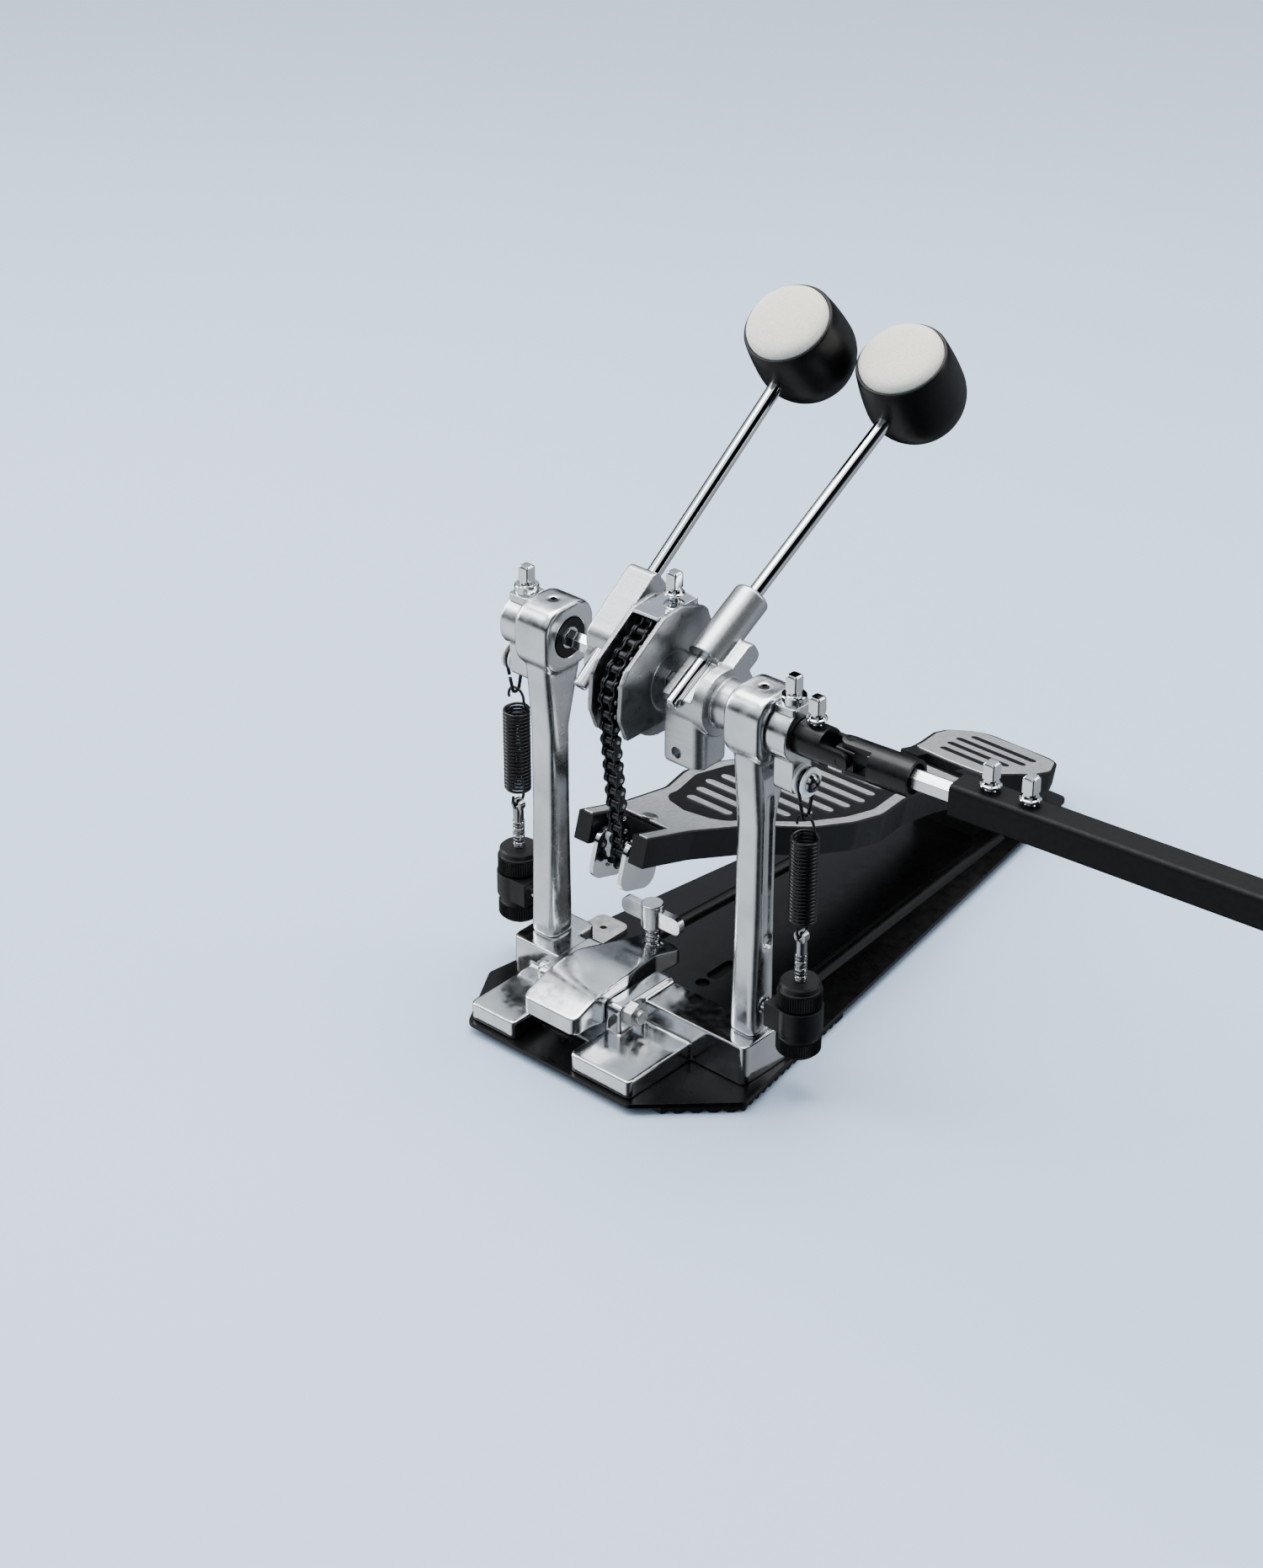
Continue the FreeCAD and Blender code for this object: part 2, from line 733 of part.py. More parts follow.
def post(side, sign):
    waist, neck = "axle_height - post_waist_drop", "axle_height - post_neck_drop"
    corners = (("-post_foot_front", "casting_top"), ("post_foot_rear", "casting_top"),
               ("post_waist_rear", "post_waist_low"), ("post_waist_rear + running_gap", waist),
               ("post_neck_half", neck), ("-post_neck_half", neck),
               ("-post_waist_front", waist), ("-post_waist_front - running_gap", "post_waist_low"))
    column = put(slab(side + "_column", "YZ_Plane", corners, "post_thick", middle=True), f"{sign} * post_x")
    centre = f"{sign} * post_x"
    span = (f"{centre} - head_thick / 2", f"{centre} + head_thick / 2")
    hood = rounded_block(side + "_hood", span, ("-head_radius", "head_radius"),
                         ("axle_height - head_radius", "axle_height + head_radius"), size.hood_round,
                         X_AXIS)
    doc.recompute()
    head = rounded(side + "_post_head", hood, size.head_round,
                   lambda edge: edge.BoundBox.XLength < size.running_gap)
    soft = rounded(side + "_column_soft", column, size.post_round,
                   lambda edge: edge.BoundBox.ZLength > size.post_waist_drop / 2
                   and edge.BoundBox.XLength < size.running_gap)
    bore = round_bar(side + "_post_bore", "x", ("0", "axle_height"),
                     (f"{span[0]} - overrun", f"{span[1]} + overrun"), "bearing_radius")
    top_hole = round_bar(side + "_set_hole", "z", (centre, "0"),
                         ("axle_height + head_radius - set_hole_depth",
                          "axle_height + head_radius + overrun"), "set_hole_radius")
    face = f"{sign} * (post_x + post_thick / 2)"
    flute = round_bar(side + "_flute", "z",
                      (f"{face} + {sign} * (flute_radius - flute_depth)", "-post_waist_rear"),
                      ("flute_low", "axle_height - flute_drop"), "flute_radius")
    oval_span = (f"{face} - oval_depth", f"{face} + oval_depth")
    oval = round_bar(side + "_oval", "x", ("-oval_back", "oval_height"), oval_span,
                     "oval_radius")
    pin_low, pin_high = pin_span(sign)
    pin_bore = round_bar(side + "_pin_bore", "x", ("bracket_pin_y", "bracket_pin_height"),
                         (pin_low, pin_high), "bracket_pin_radius + running_gap")
    keep(side + "_post",
         cut(side + "_post", fuse(side + "_post_rough", soft, head), bore, top_hole, flute, oval,
             pin_bore))


def pin_span(sign):
    """Low and high X of a bracket pin, from inside the post to inside the bracket's ear."""
    inner = f"{sign} * (post_x + post_thick / 2 - bracket_pin_in)"
    outer = f"{sign} * (bracket_ear_x + bracket_pin_reach)"
    return (inner, outer) if sign == "1" else (outer, inner)


def post_bearings():
    rings = []
    for (side, sign), bore in zip(SIDES, ("journal_radius", "sleeve_radius")):
        span = (f"{sign} * post_x - head_thick / 2", f"{sign} * post_x + head_thick / 2")
        ring = round_bar(side + "_bearing_ring", "x", ("0", "axle_height"), span, "bearing_radius")
        hole = round_bar(side + "_bearing_bore", "x", ("0", "axle_height"),
                         (f"{span[0]} - overrun", f"{span[1]} + overrun"), f"{bore} + running_gap")
        rings.append(cut(side + "_bearing", ring, hole))
    keep("post_bearings", group("post_bearings", *rings))


# Heel and footboard, drawn in the hinge's own frame and sloped together

def sloped(thing):
    return carried(thing, "0", "hinge_y", "hinge_height", X_AXIS, "-board_slope")


KNUCKLE_SHARE = 0.66


def heel_plate():
    half_shares = (KNUCKLE_SHARE, 0.74, 0.98, 1.0, 0.7)
    along_shares = (0.0, 0.16, 0.52, 0.7, 1.0)
    reach = "(heel_length - heel_start)"
    right = [(f"{half} * heel_half", f"heel_start + {share} * {reach}")
             for half, share in zip(half_shares, along_shares)]
    corners = right + [("-" + half, place) for half, place in reversed(right)]
    plate = put(slab("heel_top", "XY_Plane", corners, "heel_thick", "heel_round",
                     lambda p: p.y > size.heel_length / 2), z="board_top - heel_thick")
    knuckles = []
    bore = round_bar("heel_pin_bore", "x", ("0", "0"), ("-heel_half", "heel_half"),
                     "hinge_pin_radius + running_gap")
    for side, sign in SIDES:
        inner, outer = f"{sign} * (knuckle_half + side_gap)", f"{sign} * {KNUCKLE_SHARE} * heel_half"
        span = (inner, outer) if side == "right" else (outer, inner)
        knuckles.append(round_bar(side + "_knuckle", "x", ("0", "0"), span, "hinge_radius"))
        knuckles.append(block(side + "_knuckle_arm", span, ("0", "heel_start + overrun"),
                              ("-hinge_radius", "board_top")))
    front = sloped(cut("heel_upper", fuse("heel_rough", plate, *knuckles), bore))
    leg = block("heel_leg_box", ("-leg_half", "leg_half"), ("hinge_y + leg_start", "hinge_y + leg_end"),
                (PLATE_TOP, "hinge_height"))
    above = sloped(block("above_heel", ("-heel_half", "heel_half"), ("-heel_length", "2 * heel_length"),
                         ("board_top - heel_thick / 2", "2 * hinge_height")))
    keep("heel_plate", cut("heel_plate", fuse("heel_whole", front, cut("heel_leg", leg, above)),
                           *screw_holes("heel_screw_hole")))


def hinge_pin():
    half = f"{KNUCKLE_SHARE} * heel_half"
    pin = round_bar("hinge_pin_bar", "x", ("0", "0"), (f"-{half}", half), "hinge_pin_radius")
    keep("hinge_pin", sloped(pin))


def screw_places():
    return [(f"{sign} * heel_screw_x", "hinge_y + leg_start + heel_screw_inset") for _, sign in SIDES]


def heel_screws():
    screws = []
    for i, place in enumerate(screw_places()):
        head = round_bar(f"heel_screw_head_{i}", "z", place,
                         ("mat_thick - heel_screw_head_thick", "mat_thick"), "heel_screw_head")
        shank = round_bar(f"heel_screw_shank_{i}", "z", place,
                          ("mat_thick", f"{PLATE_TOP} + heel_screw_reach"), "heel_screw_radius")
        screws.append(fuse(f"heel_screw_{i}", head, shank))
    keep("heel_screws", group("heel_screws", *screws))


def screw_holes(name):
    return [round_bar(f"{name}_{i}", "z", place, ("0", f"{PLATE_TOP} + heel_screw_reach"),
                      "heel_screw_radius + running_gap") for i, place in enumerate(screw_places())]


def footboard():
    half_shares = (0.47, 0.48, 0.62, 0.92, 1.0, 0.96, 0.72, 0.58, 0.56)
    along_shares = (1.0, 0.87, 0.72, 0.6, 0.48, 0.38, 0.25, 0.1, 0.0)
    reach = "(board_length - board_start)"

    def outline(inset):
        right = [(f"({half} * board_half - {inset})",
                  f"-(board_start + {inset}) - {share} * ({reach} - 2 * {inset})")
                 for half, share in zip(half_shares, along_shares)]
        return right + [("-" + half, place) for half, place in reversed(right)]

    front_share = 0.95
    waist = lambda p: size.board_start * 2 < -p.y < size.board_length * front_share
    top = put(slab("board_slab", "XY_Plane", outline("0"), "board_thick", "board_round", waist),
              z="board_top - board_thick")
    hollow_front = block("board_solid_front", ("-board_half", "board_half"),
                         ("-board_length - overrun", "-board_length + board_hole_inset + board_slot_half"),
                         ("board_top - board_thick", "board_top"))
    cavity = put(slab("board_hollow", "XY_Plane", outline("board_wall"), "board_thick - board_skin"),
                 z="board_top - board_thick - running_gap")
    hollow = cut("board_cavity", cavity, hollow_front)
    knuckle = round_bar("board_knuckle", "x", ("0", "0"), ("-knuckle_half", "knuckle_half"), "hinge_radius")
    tongue = block("board_tongue", ("-board_tongue_half", "board_tongue_half"),
                   ("-board_start - board_wall", "0"), ("-hinge_radius", "board_top - overrun"))
    bore = round_bar("board_pin_bore", "x", ("0", "0"), ("-board_half", "board_half"),
                     "hinge_pin_radius + running_gap")
    through = ("board_top - board_thick - overrun", "board_top + overrun")
    skin = ("board_top - board_skin", "board_top + overrun")
    slot_y = "-board_length + board_slot_inset"
    notch = block("board_notch", ("-notch_half", "notch_half"),
                  ("-board_length - overrun", "-board_length + notch_depth"), through)
    slot = block("board_slot", ("-board_slot_half", "board_slot_half"),
                 (f"{slot_y} - board_slot_width / 2", f"{slot_y} + board_slot_width / 2"), skin)
    screw_hole = round_bar("board_screw_hole", "z", ("0", "-board_length + board_screw_inset"), through,
                           "stirrup_screw_radius + running_gap")
    hole = round_bar("board_hole", "z", ("0", "-board_length + board_hole_inset"), skin,
                     "board_hole_radius")
    seat = block("bridge_seat", ("-cheek_in - cheek_thick - side_gap", "cheek_in + cheek_thick + side_gap"),
                 ("-board_length - overrun", "-board_length + board_screw_inset + 2 * stirrup_screw_head"),
                 (through[0], "board_top - board_thick + bridge_thick"))
    solid = fuse("board_rough", cut("board_shell", top, hollow), knuckle, tongue)
    keep("footboard", sloped(cut("footboard_level", solid, bore, notch, slot, screw_hole, hole, seat)))


# Roller chain, link by link

def link_plate(name, span):
    ends = [round_bar(f"{name}_{i}", "x", ("0", f"-{i} * pitch"), span, "link_plate_radius")
            for i in range(2)]
    waist = block(name + "_waist", span, ("-link_waist / 2", "link_waist / 2"), ("-pitch", "0"))
    return fuse(name, waist, *ends)


INNER_OUT = "roller_half + link_plate_thick"
OUTER_IN = f"{INNER_OUT} + link_plate_gap"
OUTER_OUT = f"{OUTER_IN} + link_plate_thick"


def outer_link():
    plates = [link_plate("outer_plate_near", (OUTER_IN, OUTER_OUT)),
              link_plate("outer_plate_far", (f"-({OUTER_OUT})", f"-({OUTER_IN})"))]
    pins = [round_bar(f"link_pin_{i}", "x", ("0", f"-{i} * pitch"), ("-chain_pin_half", "chain_pin_half"),
                      "chain_pin_radius") for i in range(2)]
    return fuse("outer_link", *plates, *pins)


def inner_link():
    plates = [link_plate("inner_plate_near", ("roller_half", INNER_OUT)),
              link_plate("inner_plate_far", (f"-({INNER_OUT})", "-roller_half"))]
    rollers = [round_bar(f"link_roller_{i}", "x", ("0", f"-{i} * pitch"), ("-roller_half", "roller_half"),
                         "roller_radius") for i in range(2)]
    bores = [round_bar(f"link_bore_{i}", "x", ("0", f"-{i} * pitch"), (f"-({OUTER_OUT})", OUTER_OUT),
                       "chain_pin_radius + running_gap") for i in range(2)]
    return cut("inner_link", fuse("inner_link_rough", *plates, *rollers), *bores)


def chain():
    shapes = (inner_link(), outer_link())
    doc.recompute()

    def laid(kind, link):
        y, z, direction = link
        shape = shapes[kind].Shape.copy()
        shape.Placement = Placement(Vector(0, y, size.axle_height + z), Rotation(X_AXIS, -direction))
        return shape

    wound = [laid(i % 2, link) for i, link in enumerate(WOUND)]
    pin_length = 2 * (size.cam_half - size.flange_thick)
    top_y, top_z, _ = WOUND[0]
    wound.append(Part.makeCylinder(size.chain_pin_radius, pin_length,
                                   Vector(-pin_length / 2, top_y, size.axle_height + top_z), X_AXIS))
    keep("chain_wound", still("chain_wound", Part.makeCompound(wound)))
    count = len(WOUND)
    for i, link in enumerate(BENDING):
        keep(f"chain_link_{i + 1}", still(f"chain_link_{i + 1}", laid((count + i) % 2, link)))
    count += len(BENDING)
    run = [laid((count + i) % 2, link) for i, link in enumerate(RUN)]
    end_length = 2 * (size.cheek_in + size.pin_in_cheek)
    run.append(Part.makeCylinder(size.chain_pin_radius, end_length,
                                 Vector(-end_length / 2, RUN_END[0], size.axle_height + RUN_END[1]),
                                 X_AXIS))
    keep("chain_run", still("chain_run", Part.makeCompound(run)))


def chain_stirrup():
    """Two cheeks and a bridge under the footboard, hung round the chain's end pin."""
    pin_y, pin_z = "(-board_length + stirrup_pin_inset)", "(-stirrup_pin_drop)"
    under = "board_top - board_thick + bridge_thick"
    pieces = []
    holes = []
    for side, sign in SIDES:
        inner, outer = f"{sign} * cheek_in", f"{sign} * (cheek_in + cheek_thick)"
        pocket_end = f"{sign} * (cheek_in + cheek_pocket)"
        right = side == "right"
        span = (inner, outer) if right else (outer, inner)
        low = f"{pin_z} - cheek_drop"
        pieces.append(rounded_block(side + "_cheek", span,
                                    (f"{pin_y} - cheek_front", f"{pin_y} + cheek_rear"),
                                    (low, f"{under} - running_gap"), size.cheek_round, X_AXIS))
        pieces.append(rounded_block(side + "_cheek_top", span,
                                    (f"{pin_y} - cheek_front", "-board_length + notch_depth - side_gap"),
                                    (low, "board_top - cheek_top_gap"), size.cheek_round, X_AXIS))
        holes.append(round_bar(side + "_cheek_hole", "x", (pin_y, pin_z),
                               (inner, pocket_end) if right else (pocket_end, inner), "cheek_hole_radius"))
    bridge = block("stirrup_bridge", ("-cheek_in - cheek_thick", "cheek_in + cheek_thick"),
                   (f"{pin_y} + cheek_rear / 2", "-board_length + board_screw_inset + stirrup_screw_head"),
                   (f"{under} - bridge_thick", f"{under} - running_gap"))
    screw_hole = round_bar("bridge_hole", "z", ("0", "-board_length + board_screw_inset"),
                           (f"{under} - bridge_thick - overrun", f"{under} + overrun"),
                           "stirrup_screw_radius + running_gap")
    keep("chain_stirrup",
         sloped(cut("stirrup_level", fuse("stirrup_rough", bridge, *pieces), screw_hole, *holes)))
    shank = round_bar("stirrup_screw_shank", "z", ("0", "-board_length + board_screw_inset"),
                      (f"{under} - bridge_thick", "board_top"), "stirrup_screw_radius")
    head = round_bar("stirrup_screw_head_disc", "z", ("0", "-board_length + board_screw_inset"),
                     ("board_top", "board_top + stirrup_screw_head_thick"), "stirrup_screw_head")
    keep("stirrup_screw", sloped(fuse("stirrup_screw_level", shank, head)))


# Main drive

def main_axle():
    core = hex_bar("axle_hex", "x", ("0", "axle_height"), ("-axle_left", "axle_hex_right"), "axle_flats")
    journal = round_bar("axle_journal", "x", ("0", "axle_height"),
                        ("-post_x - head_thick / 2", "-post_x + head_thick / 2"), "journal_radius")
    spigot = round_bar("axle_spigot", "x", ("0", "axle_height"), ("axle_hex_right", "spigot_right"),
                       "spigot_radius")
    keep("main_axle", fuse("main_axle", core, journal, spigot))


def axle_hole(name, low, high):
    return hex_bar(name, "x", ("0", "axle_height"), (f"{low} - overrun", f"{high} + overrun"), "axle_flats")


def cam():
    z = "axle_height"
    front_shares = ((0.87, -1.0), (1.0, -0.35), (0.96, 0.3), (0.84, 0.48), (0.15, 0.96))
    rear_shares = ((0.26, 1.0), (0.87, 0.82), (1.0, 0.55), (0.77, -0.4), (0.4, -1.0))
    corners = [(f"{out} * {reach}", f"{z} + {up} * " + ("cam_top" if up > 0 else "cam_low"))
               for reach, shares in (("-cam_front", front_shares), ("cam_rear", rear_shares))
               for out, up in shares]
    soft = lambda p: p.z > size.axle_height - size.cam_low / 2
    flanges = []
    for side, low in (("left", "-cam_half"), ("right", "cam_half - flange_thick")):
        flanges.append(put(slab(side + "_flange", "YZ_Plane", corners, "flange_thick", "cam_round", soft),
                           low))
    inside = ("-cam_half + flange_thick", "cam_half - flange_thick")
    core = round_bar("cam_core", "x", ("-cam_eccentric", f"{z} - cam_eccentric"), inside,
                     "cam_radius - link_plate_radius - lining_gap - lining_thick")
    bed = block("anchor_bed", inside, ("anchor_front", "anchor_rear"), (z, f"{z} + anchor_block_top"))
    relief = []
    for side, low, high in (("left", "-cam_half", "-cam_half + cam_relief_depth"),
                            ("right", "cam_half - cam_relief_depth", "cam_half")):
        relief.append(round_bar(side + "_relief", "x", ("0", z), (low, high), "cam_relief_radius"))
    bolt_hole = round_bar("anchor_bolt_hole", "z", ("0", "anchor_bolt_y"),
                          (z, f"{z} + anchor_block_top + overrun"), "key_shank_radius")
    hole = axle_hole("cam_axle_hole", "-cam_half", "cam_half")
    keep("cam", cut("cam", fuse("cam_rough", core, bed, *flanges), hole, bolt_hole, *relief))


def cam_lining():
    """A rubber band on the front of the cam's core, under the chain."""
    z = "axle_height"
    inside = ("-cam_half + flange_thick", "cam_half - flange_thick")
    centre = ("-cam_eccentric", f"{z} - cam_eccentric")
    outer = round_bar("lining_outer", "x", centre, inside, "cam_radius - link_plate_radius - lining_gap")
    inner = round_bar("lining_inner", "x", centre, ("-cam_half", "cam_half"),
                      "cam_radius - link_plate_radius - lining_gap - lining_thick")
    front = block("lining_front", inside, ("-cam_front", "-cam_eccentric - overrun"),
                  (f"{z} - cam_low", f"{z} + cam_top"))
    keep("cam_lining", common("cam_lining", cut("lining_ring", outer, inner), front))


def chain_anchor_plate():
    z = "axle_height + anchor_block_top"
    inside = ("-cam_half + flange_thick", "cam_half - flange_thick")
    top = block("anchor_top", inside, ("-anchor_plate_front", "anchor_rear"),
                (z, f"{z} + anchor_plate_thick"))
    hole = round_bar("anchor_plate_hole", "z", ("0", "anchor_bolt_y"), (f"{z} - overrun", f"{z} + overrun"),
                     "key_shank_radius")
    keep("chain_anchor_plate", cut("chain_anchor_plate", top, hole))


def upright(thing, lean):
    """Lean a beater piece that was built standing on the axle's axis."""
    return carried(thing, "0", "0", "axle_height", X_AXIS, f"-{lean}")


def beater(which, sign, lean, offset, low, height):
    x = f"{sign} * beater_x"
    rod = round_bar(which + "_rod_bar", "z", (x, f"-{offset}"), (f"-{low}", f"{height} + rod_in_head"),
                    "rod_radius")
    soft_rod = rounded(which + "_rod_soft", rod, size.rod_radius / 4, lambda edge: is_rim(edge, Z_AXIS))
    keep(which + "_rod", upright(soft_rod, lean))
    centre = (x, height)
    cup = doc.addObject("Part::Cone", which + "_cup")
    cup.Placement = Placement(Vector(), LAID["y"])
    bind(cup, "Radius1", "head_rim_radius")
    bind(cup, "Radius2", "head_radius_widest")
    bind(cup, "Height", "head_front + head_belly")
    put(cup, x, f"-{offset} - head_front", height)
    back = doc.addObject("Part::Sphere", which + "_back")
    back.Placement = Placement(Vector(), LAID["y"])
    back.Angle1 = 0
    bind(back, "Radius", "head_radius_widest")
    put(back, x, f"-{offset} + head_belly", height)
    seat = round_bar(which + "_felt_seat", "y", centre,
                     (f"-{offset} - head_front - overrun", f"-{offset} - head_front + felt_seat"),
                     "felt_radius")
    bore = round_bar(which + "_head_bore", "z", (x, f"-{offset}"),
                     (f"{height} - 2 * head_radius_widest", f"{height} + rod_in_head"), "rod_radius")
    keep(which + "_head",
         upright(cut(which + "_head_up", fuse(which + "_egg", cup, back), seat, bore), lean))
    felt = round_bar(which + "_felt_disc", "y", centre,
                     (f"-{offset} - head_front + felt_seat - felt_thick",
                      f"-{offset} - head_front + felt_seat"), "felt_radius")
    front = -SIZES[offset] - size.head_front
    soft_felt = rounded(which + "_felt_soft", felt, size.felt_round,
                        lambda edge: is_rim(edge, Y_AXIS, highest=front))
    keep(which + "_felt", upright(soft_felt, lean))


def main_hub():
    x = ("-beater_x - hub_half", "-beater_x + hub_half")
    ring = round_bar("hub_ring", "x", ("0", "0"), x, "hub_ring_radius")
    bar = block("hub_bar", x, ("-hub_front", "0"), ("-hub_low", "hub_high"))
    toe = rounded("hub_toe", bar, size.hub_toe_round,
                  lambda edge: is_line(edge, X_AXIS) and edge.BoundBox.YMax < -size.main_rod_offset
                  and edge.BoundBox.ZMax < 0)
    arm = rounded("hub_arm", toe, size.hub_round,
                  lambda edge: is_line(edge, X_AXIS) and edge.BoundBox.ZMin > size.hub_high - size.hub_round)
    bore = round_bar("hub_rod_bore", "z", ("-beater_x", "-main_rod_offset"),
                     ("-hub_high", "hub_high + overrun"), "rod_radius")
    screw = round_bar("hub_screw_hole", "y", ("-beater_x", "hub_high / 2"),
                      ("-main_rod_offset", "hub_front"), "set_screw_radius")
    solid = cut("main_hub_up", fuse("hub_rough", ring, arm), bore, screw)
    hole = axle_hole("hub_axle_hole", x[0], x[1])
    keep("main_hub", cut("main_hub", upright(solid, "main_lean"), hole))


def lever_x(sign):
    """Low and high X of a spring lever, just outside its post."""
    inner = f"{sign} * (post_x + head_thick / 2 + lever_gap)"
    outer = f"{sign} * (post_x + head_thick / 2 + lever_gap + lever_thick)"
    return (inner, outer) if sign == "1" else (outer, inner)


LEVER_FACE = "(post_x + head_thick / 2 + lever_gap + lever_thick)"
LEVER_MIDDLE = "(post_x + head_thick / 2 + lever_gap + lever_thick / 2)"
SPRING_X = f"({LEVER_FACE} + bush_flange_thick + bush_groove / 2)"


def spring_lever(side, sign):
    z = "axle_height"
    span = lever_x(sign)
    ring = round_bar(side + "_lever_ring", "x", ("0", z), span, "lever_ring_radius")
    lug = rounded_block(side + "_lever_lug", span, ("-lever_lug_half", "lever_lug_half"),
                        (z, f"{z} + lever_lug_top"), size.hub_round / 2)
    arm = rounded_block(side + "_lever_arm", span, ("-lever_arm_half", "lever_arm_half"),
                        (f"{z} - lever_drop - lever_arm_half", z), size.hub_round, X_AXIS)
    low, high = span
    if side == "left":
        hole = axle_hole("left_lever_hole", low, high)
    else:
        hole = round_bar("right_lever_hole", "x", ("0", z), (f"{low} - overrun", f"{high} + overrun"),
                         "sleeve_radius")
    bolt = round_bar(side + "_lug_hole", "z", (f"{sign} * {LEVER_MIDDLE}", "0"),
                     (f"{z} + lever_lug_top - key_shank", f"{z} + lever_lug_top + overrun"),
                     "key_shank_radius")
    screw = round_bar(side + "_arm_hole", "x", ("0", f"{z} - lever_drop"), span, "bush_screw_radius")
    keep(side + "_lever",
         cut(side + "_lever", fuse(side + "_lever_rough", ring, lug, arm), hole, bolt, screw))


def outward(sign, first, second):
    """Low and high X between two distances outside a lever's face."""
    near, far = f"{sign} * ({LEVER_FACE} + {first})", f"{sign} * ({LEVER_FACE} + {second})"
    return (near, far) if sign == "1" else (far, near)


def bush(side, sign):
    place = ("0", "axle_height - lever_drop")
    groove_end = "bush_flange_thick + bush_groove"
    full = "2 * bush_flange_thick + bush_groove"
    flanges = [round_bar(f"{side}_bush_{i}", "x", place, outward(sign, *span), "bush_flange_radius")
               for i, span in enumerate((("0", "bush_flange_thick"), (groove_end, full)))]
    core = round_bar(side + "_bush_core", "x", place, outward(sign, "0", full), "bush_core_radius")
    hole = round_bar(side + "_bush_hole", "x", place, outward(sign, "-overrun", f"{full} + overrun"),
                     "bush_screw_radius")
    keep(side + "_bush", cut(side + "_bush", fuse(side + "_bush_rough", core, *flanges), hole))
    head_span = outward(sign, full, f"{full} + bush_screw_head_thick")
    head = round_bar(side + "_bush_screw_disc", "x", place, head_span, "bush_screw_head")
    shank = round_bar(side + "_bush_screw_shank", "x", place, outward(sign, "-lever_thick", full),
                      "bush_screw_radius")
    return fuse(side + "_bush_screw", head, shank)


def main_fasteners(bush_screw):
    lever_bolt = put(key_bolt("left_lever_bolt"), f"-{LEVER_MIDDLE}", "0", "axle_height + lever_lug_top")
    anchor_bolt = put(key_bolt("anchor_bolt"), "0", "anchor_bolt_y",
                      "axle_height + anchor_block_top + anchor_plate_thick")
    set_screw = round_bar("main_set_screw", "y", ("-beater_x", "hub_high / 2"),
                          ("-main_rod_offset + rod_radius",
                           "-main_rod_offset + rod_radius + set_screw_length"), "set_screw_radius")
    keep("main_fasteners",
         group("main_fasteners", lever_bolt, anchor_bolt, upright(set_screw, "main_lean"), bush_screw))


# Second drive on its sleeve

def second_sleeve():
    tube = round_bar("sleeve_tube", "x", ("0", "axle_height"), ("sleeve_left", "sleeve_right"),
                     "sleeve_radius")
    bore = round_bar("sleeve_bore", "x", ("0", "axle_height"),
                     ("sleeve_left - overrun", "spigot_right + overrun"), "spigot_radius + running_gap")
    keep("second_sleeve", cut("second_sleeve", tube, bore))


def sleeve_hole(name, low, high):
    return round_bar(name, "x", ("0", "axle_height"), (f"{low} - overrun", f"{high} + overrun"),
                     "sleeve_radius")


def second_hub():
    z = "axle_height"
    x = ("clamp_ring_left", "clamp_ring_right")
    ring = round_bar("clamp_ring", "x", ("0", z), x, "clamp_ring_radius")
    collar = round_bar("clamp_collar", "x", ("0", z),
                       ("clamp_ring_right", "post_x - head_thick / 2 - collar_gap"), "collar_radius")
    shin = block("clamp_shin", ("foot_left", "foot_right"), ("-foot_front", "foot_rear"),
                 (f"{z} - foot_drop", z))
    inner_side = size.foot_left + size.foot_corner
    calf = rounded("clamp_calf", shin, size.foot_corner,
                   lambda edge: is_line(edge, Z_AXIS) and edge.BoundBox.XMin > inner_side)
    sole = size.axle_height - size.foot_drop + size.running_gap
    foot = rounded("clamp_foot", calf, size.foot_round, lambda edge: edge.BoundBox.ZMax < sole)
    barrel = rounded("rod_barrel", round_bar("rod_barrel_bar", "z", ("beater_x", "-second_rod_offset"),
                                             ("-barrel_low", "barrel_high"), "barrel_radius"),
                     size.hub_round / 2, lambda edge: is_rim(edge, Z_AXIS))
    wing = rounded_block("barrel_wing", ("beater_x", "clamp_ring_right"), ("-second_rod_offset", "0"),
                         ("0", "barrel_high / 2 + hub_round"), size.hub_round, X_AXIS)
    tab = block("clamp_tab", ("clamp_ring_right - tab_thick", "clamp_ring_right"), ("0", "tab_rear"),
                ("0", "tab_height"))
    solid = fuse("second_hub_rough", ring, collar, foot,
                 upright(fuse("leaning_part", barrel, wing, tab), "second_lean"))
    rod_bore = upright(round_bar("second_rod_bore", "z", ("beater_x", "-second_rod_offset"),
                                 ("-2 * barrel_high", "barrel_high + overrun"), "rod_radius"),
                       "second_lean")
    notch = upright(block("rod_notch", ("clamp_ring_left - overrun", "beater_x + barrel_radius"),
                          ("-2 * clamp_ring_radius", "-second_rod_offset"),
                          ("-2 * clamp_ring_radius", "notch_top")), "second_lean")
    foot_hole = round_bar("foot_hole", "y", ("foot_left + foot_hole_depth", f"{z} - foot_hole_drop"),
                          ("-foot_front - overrun", "-foot_front + foot_hole_depth"), "foot_hole_radius")
    keep("second_hub",
         cut("second_hub", solid, sleeve_hole("second_hub_hole", "sleeve_left", "post_x"), rod_bore, notch,
             foot_hole))


